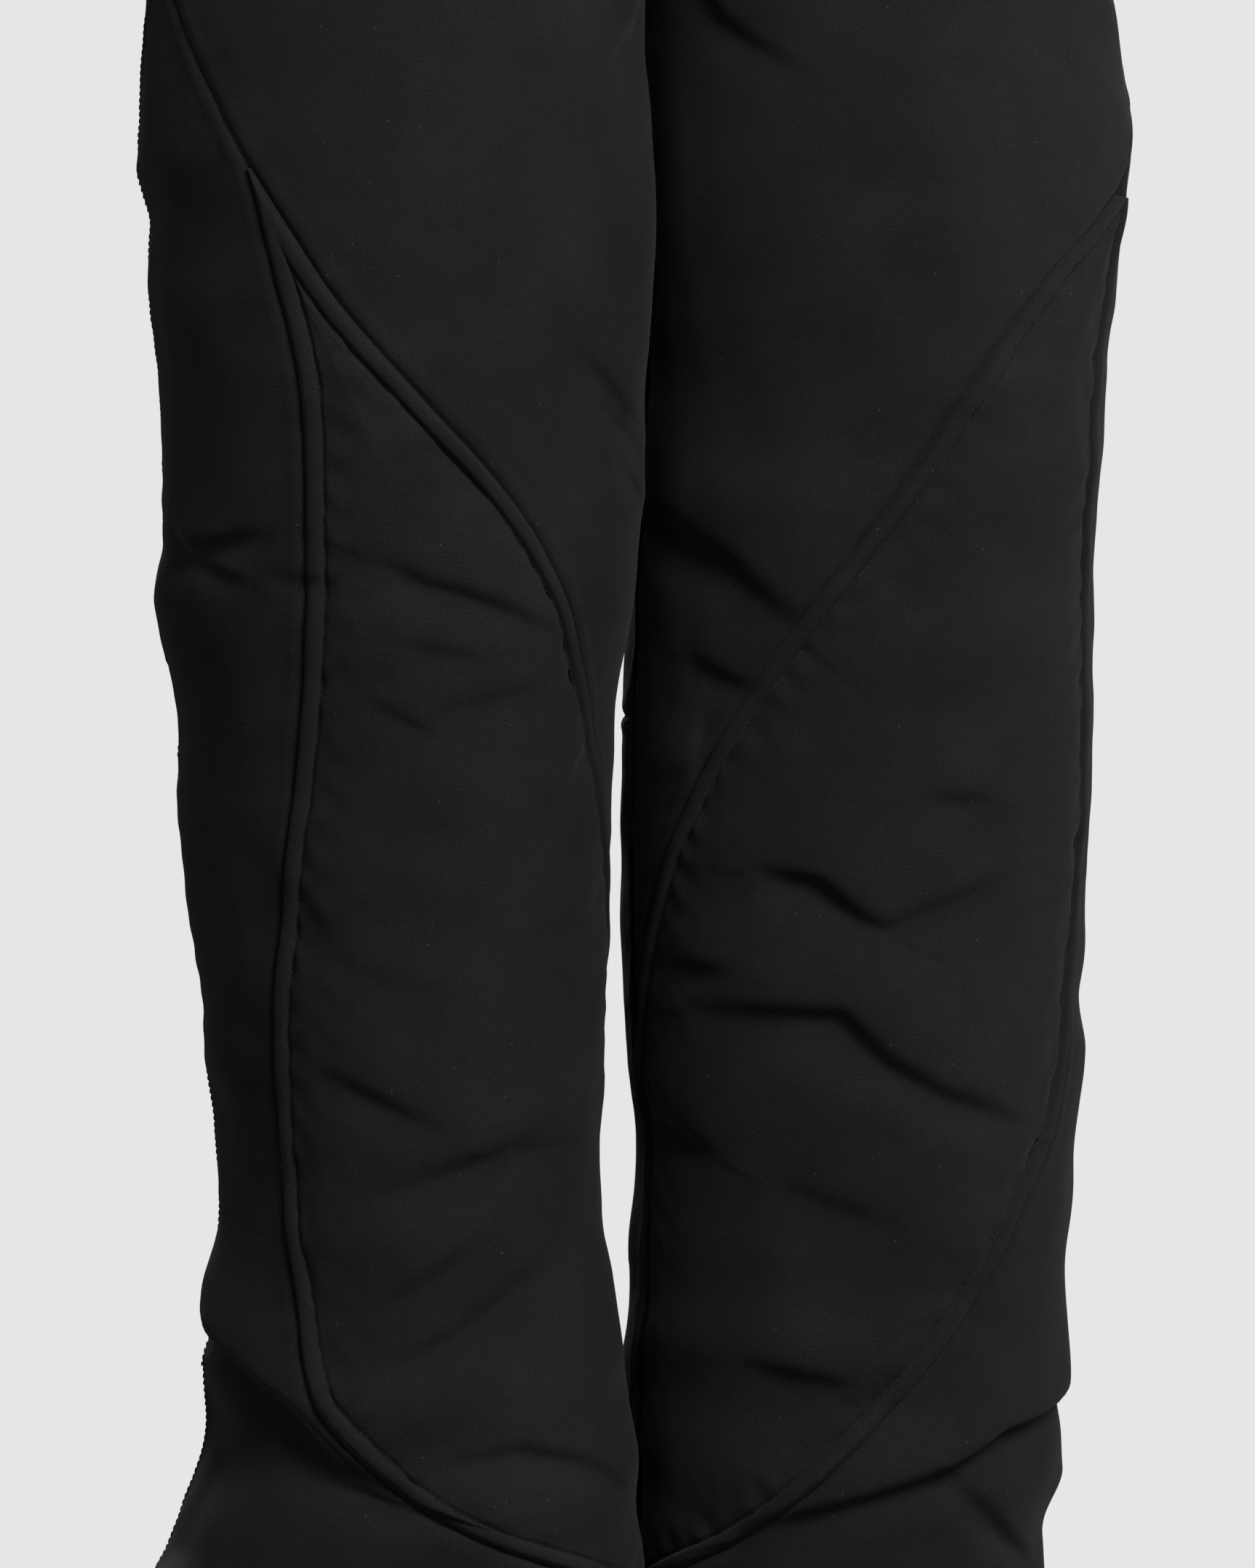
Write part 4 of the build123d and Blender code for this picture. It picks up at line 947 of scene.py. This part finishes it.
dress(together("belt_loops_cloth", loops), "shell", "belt_loops", held="stretched")
stitches("belt_loop_stitching", loop_runs)

# ---- zip tapes --------------------------------------------------------------------------------------
TAPE_INNER, TAPE_OUTER, TAPE_THICK = 3.1, 10.0, 0.6
FLY_TAPE_TOP, FLY_TAPE_LENGTH = (0.0, -107.6, -54.0), 116.0
POCKET_TAPE_SPAN, POCKET_TAPE_INSET, POCKET_TAPE_MIDDLE = (-66.0, -214.0), 4.4, -140.0


def zip_tape(name, start, run, across, out, length, *zip_nodes):
    """The strips of woven tape on both sides of a zip's teeth."""
    strips = []
    for way in (-1, 1):
        down = np.linspace(0, length, int(length / 1.6))[:, None, None]
        over = np.linspace(TAPE_INNER, TAPE_OUTER, 10)[None, :, None] * way
        middle = start + down * run + over * across
        strips.append(slab(f"{name}_{way}", middle, np.broadcast_to(out, middle.shape), TAPE_THICK, tape,
                           soft_edge=0.4))
    dress(together(name, strips), "zip_tape", *zip_nodes, held="stretched")


zip_tape("fly_tape_cloth", np.array(FLY_TAPE_TOP), np.array([0.0, 0, -1.0]), np.array([1.0, 0, 0]), FRONTWARD,
         FLY_TAPE_LENGTH, "fly_tape_right", "fly_tape_left")
for side in ("right", "left"):
    ends = [skin(side, h, along(POCKET_SEAM, h), POCKET_TAPE_INSET) for h in POCKET_TAPE_SPAN]
    length = float(np.linalg.norm(ends[1] - ends[0]))
    run = (ends[1] - ends[0]) / length
    seam_angle = along(POCKET_SEAM, POCKET_TAPE_MIDDLE)
    wide = skin(side, POCKET_TAPE_MIDDLE, seam_angle + 5) - skin(side, POCKET_TAPE_MIDDLE, seam_angle - 5)
    out = np.cross(run, wide)
    out = out / np.linalg.norm(out) * (-1 if out[1] > 0 else 1)
    zip_tape(f"pocket_tape_cloth_{side}", ends[0], run, np.cross(run, out), out, length, f"pocket_tape_{side}")

# ---- finishes of the hard parts ---------------------------------------------------------------------
FINISHES = {
    "fly_slider": enamel, "fly_pull": enamel, "fly_bottom_stop": enamel, "pocket_slider": enamel,
    "pocket_pull": enamel, "snap_cap": enamel, "snap_socket": enamel, "snap_stud": enamel,
    "fly_teeth": teeth, "pocket_teeth": teeth, "lace_hook": plastic,
}
for obj in bpy.data.objects:
    finish = FINISHES.get(obj.name.rsplit("_right", 1)[0].rsplit("_left", 1)[0])
    if finish:
        for place in obj.material_slots:
            place.material = finish
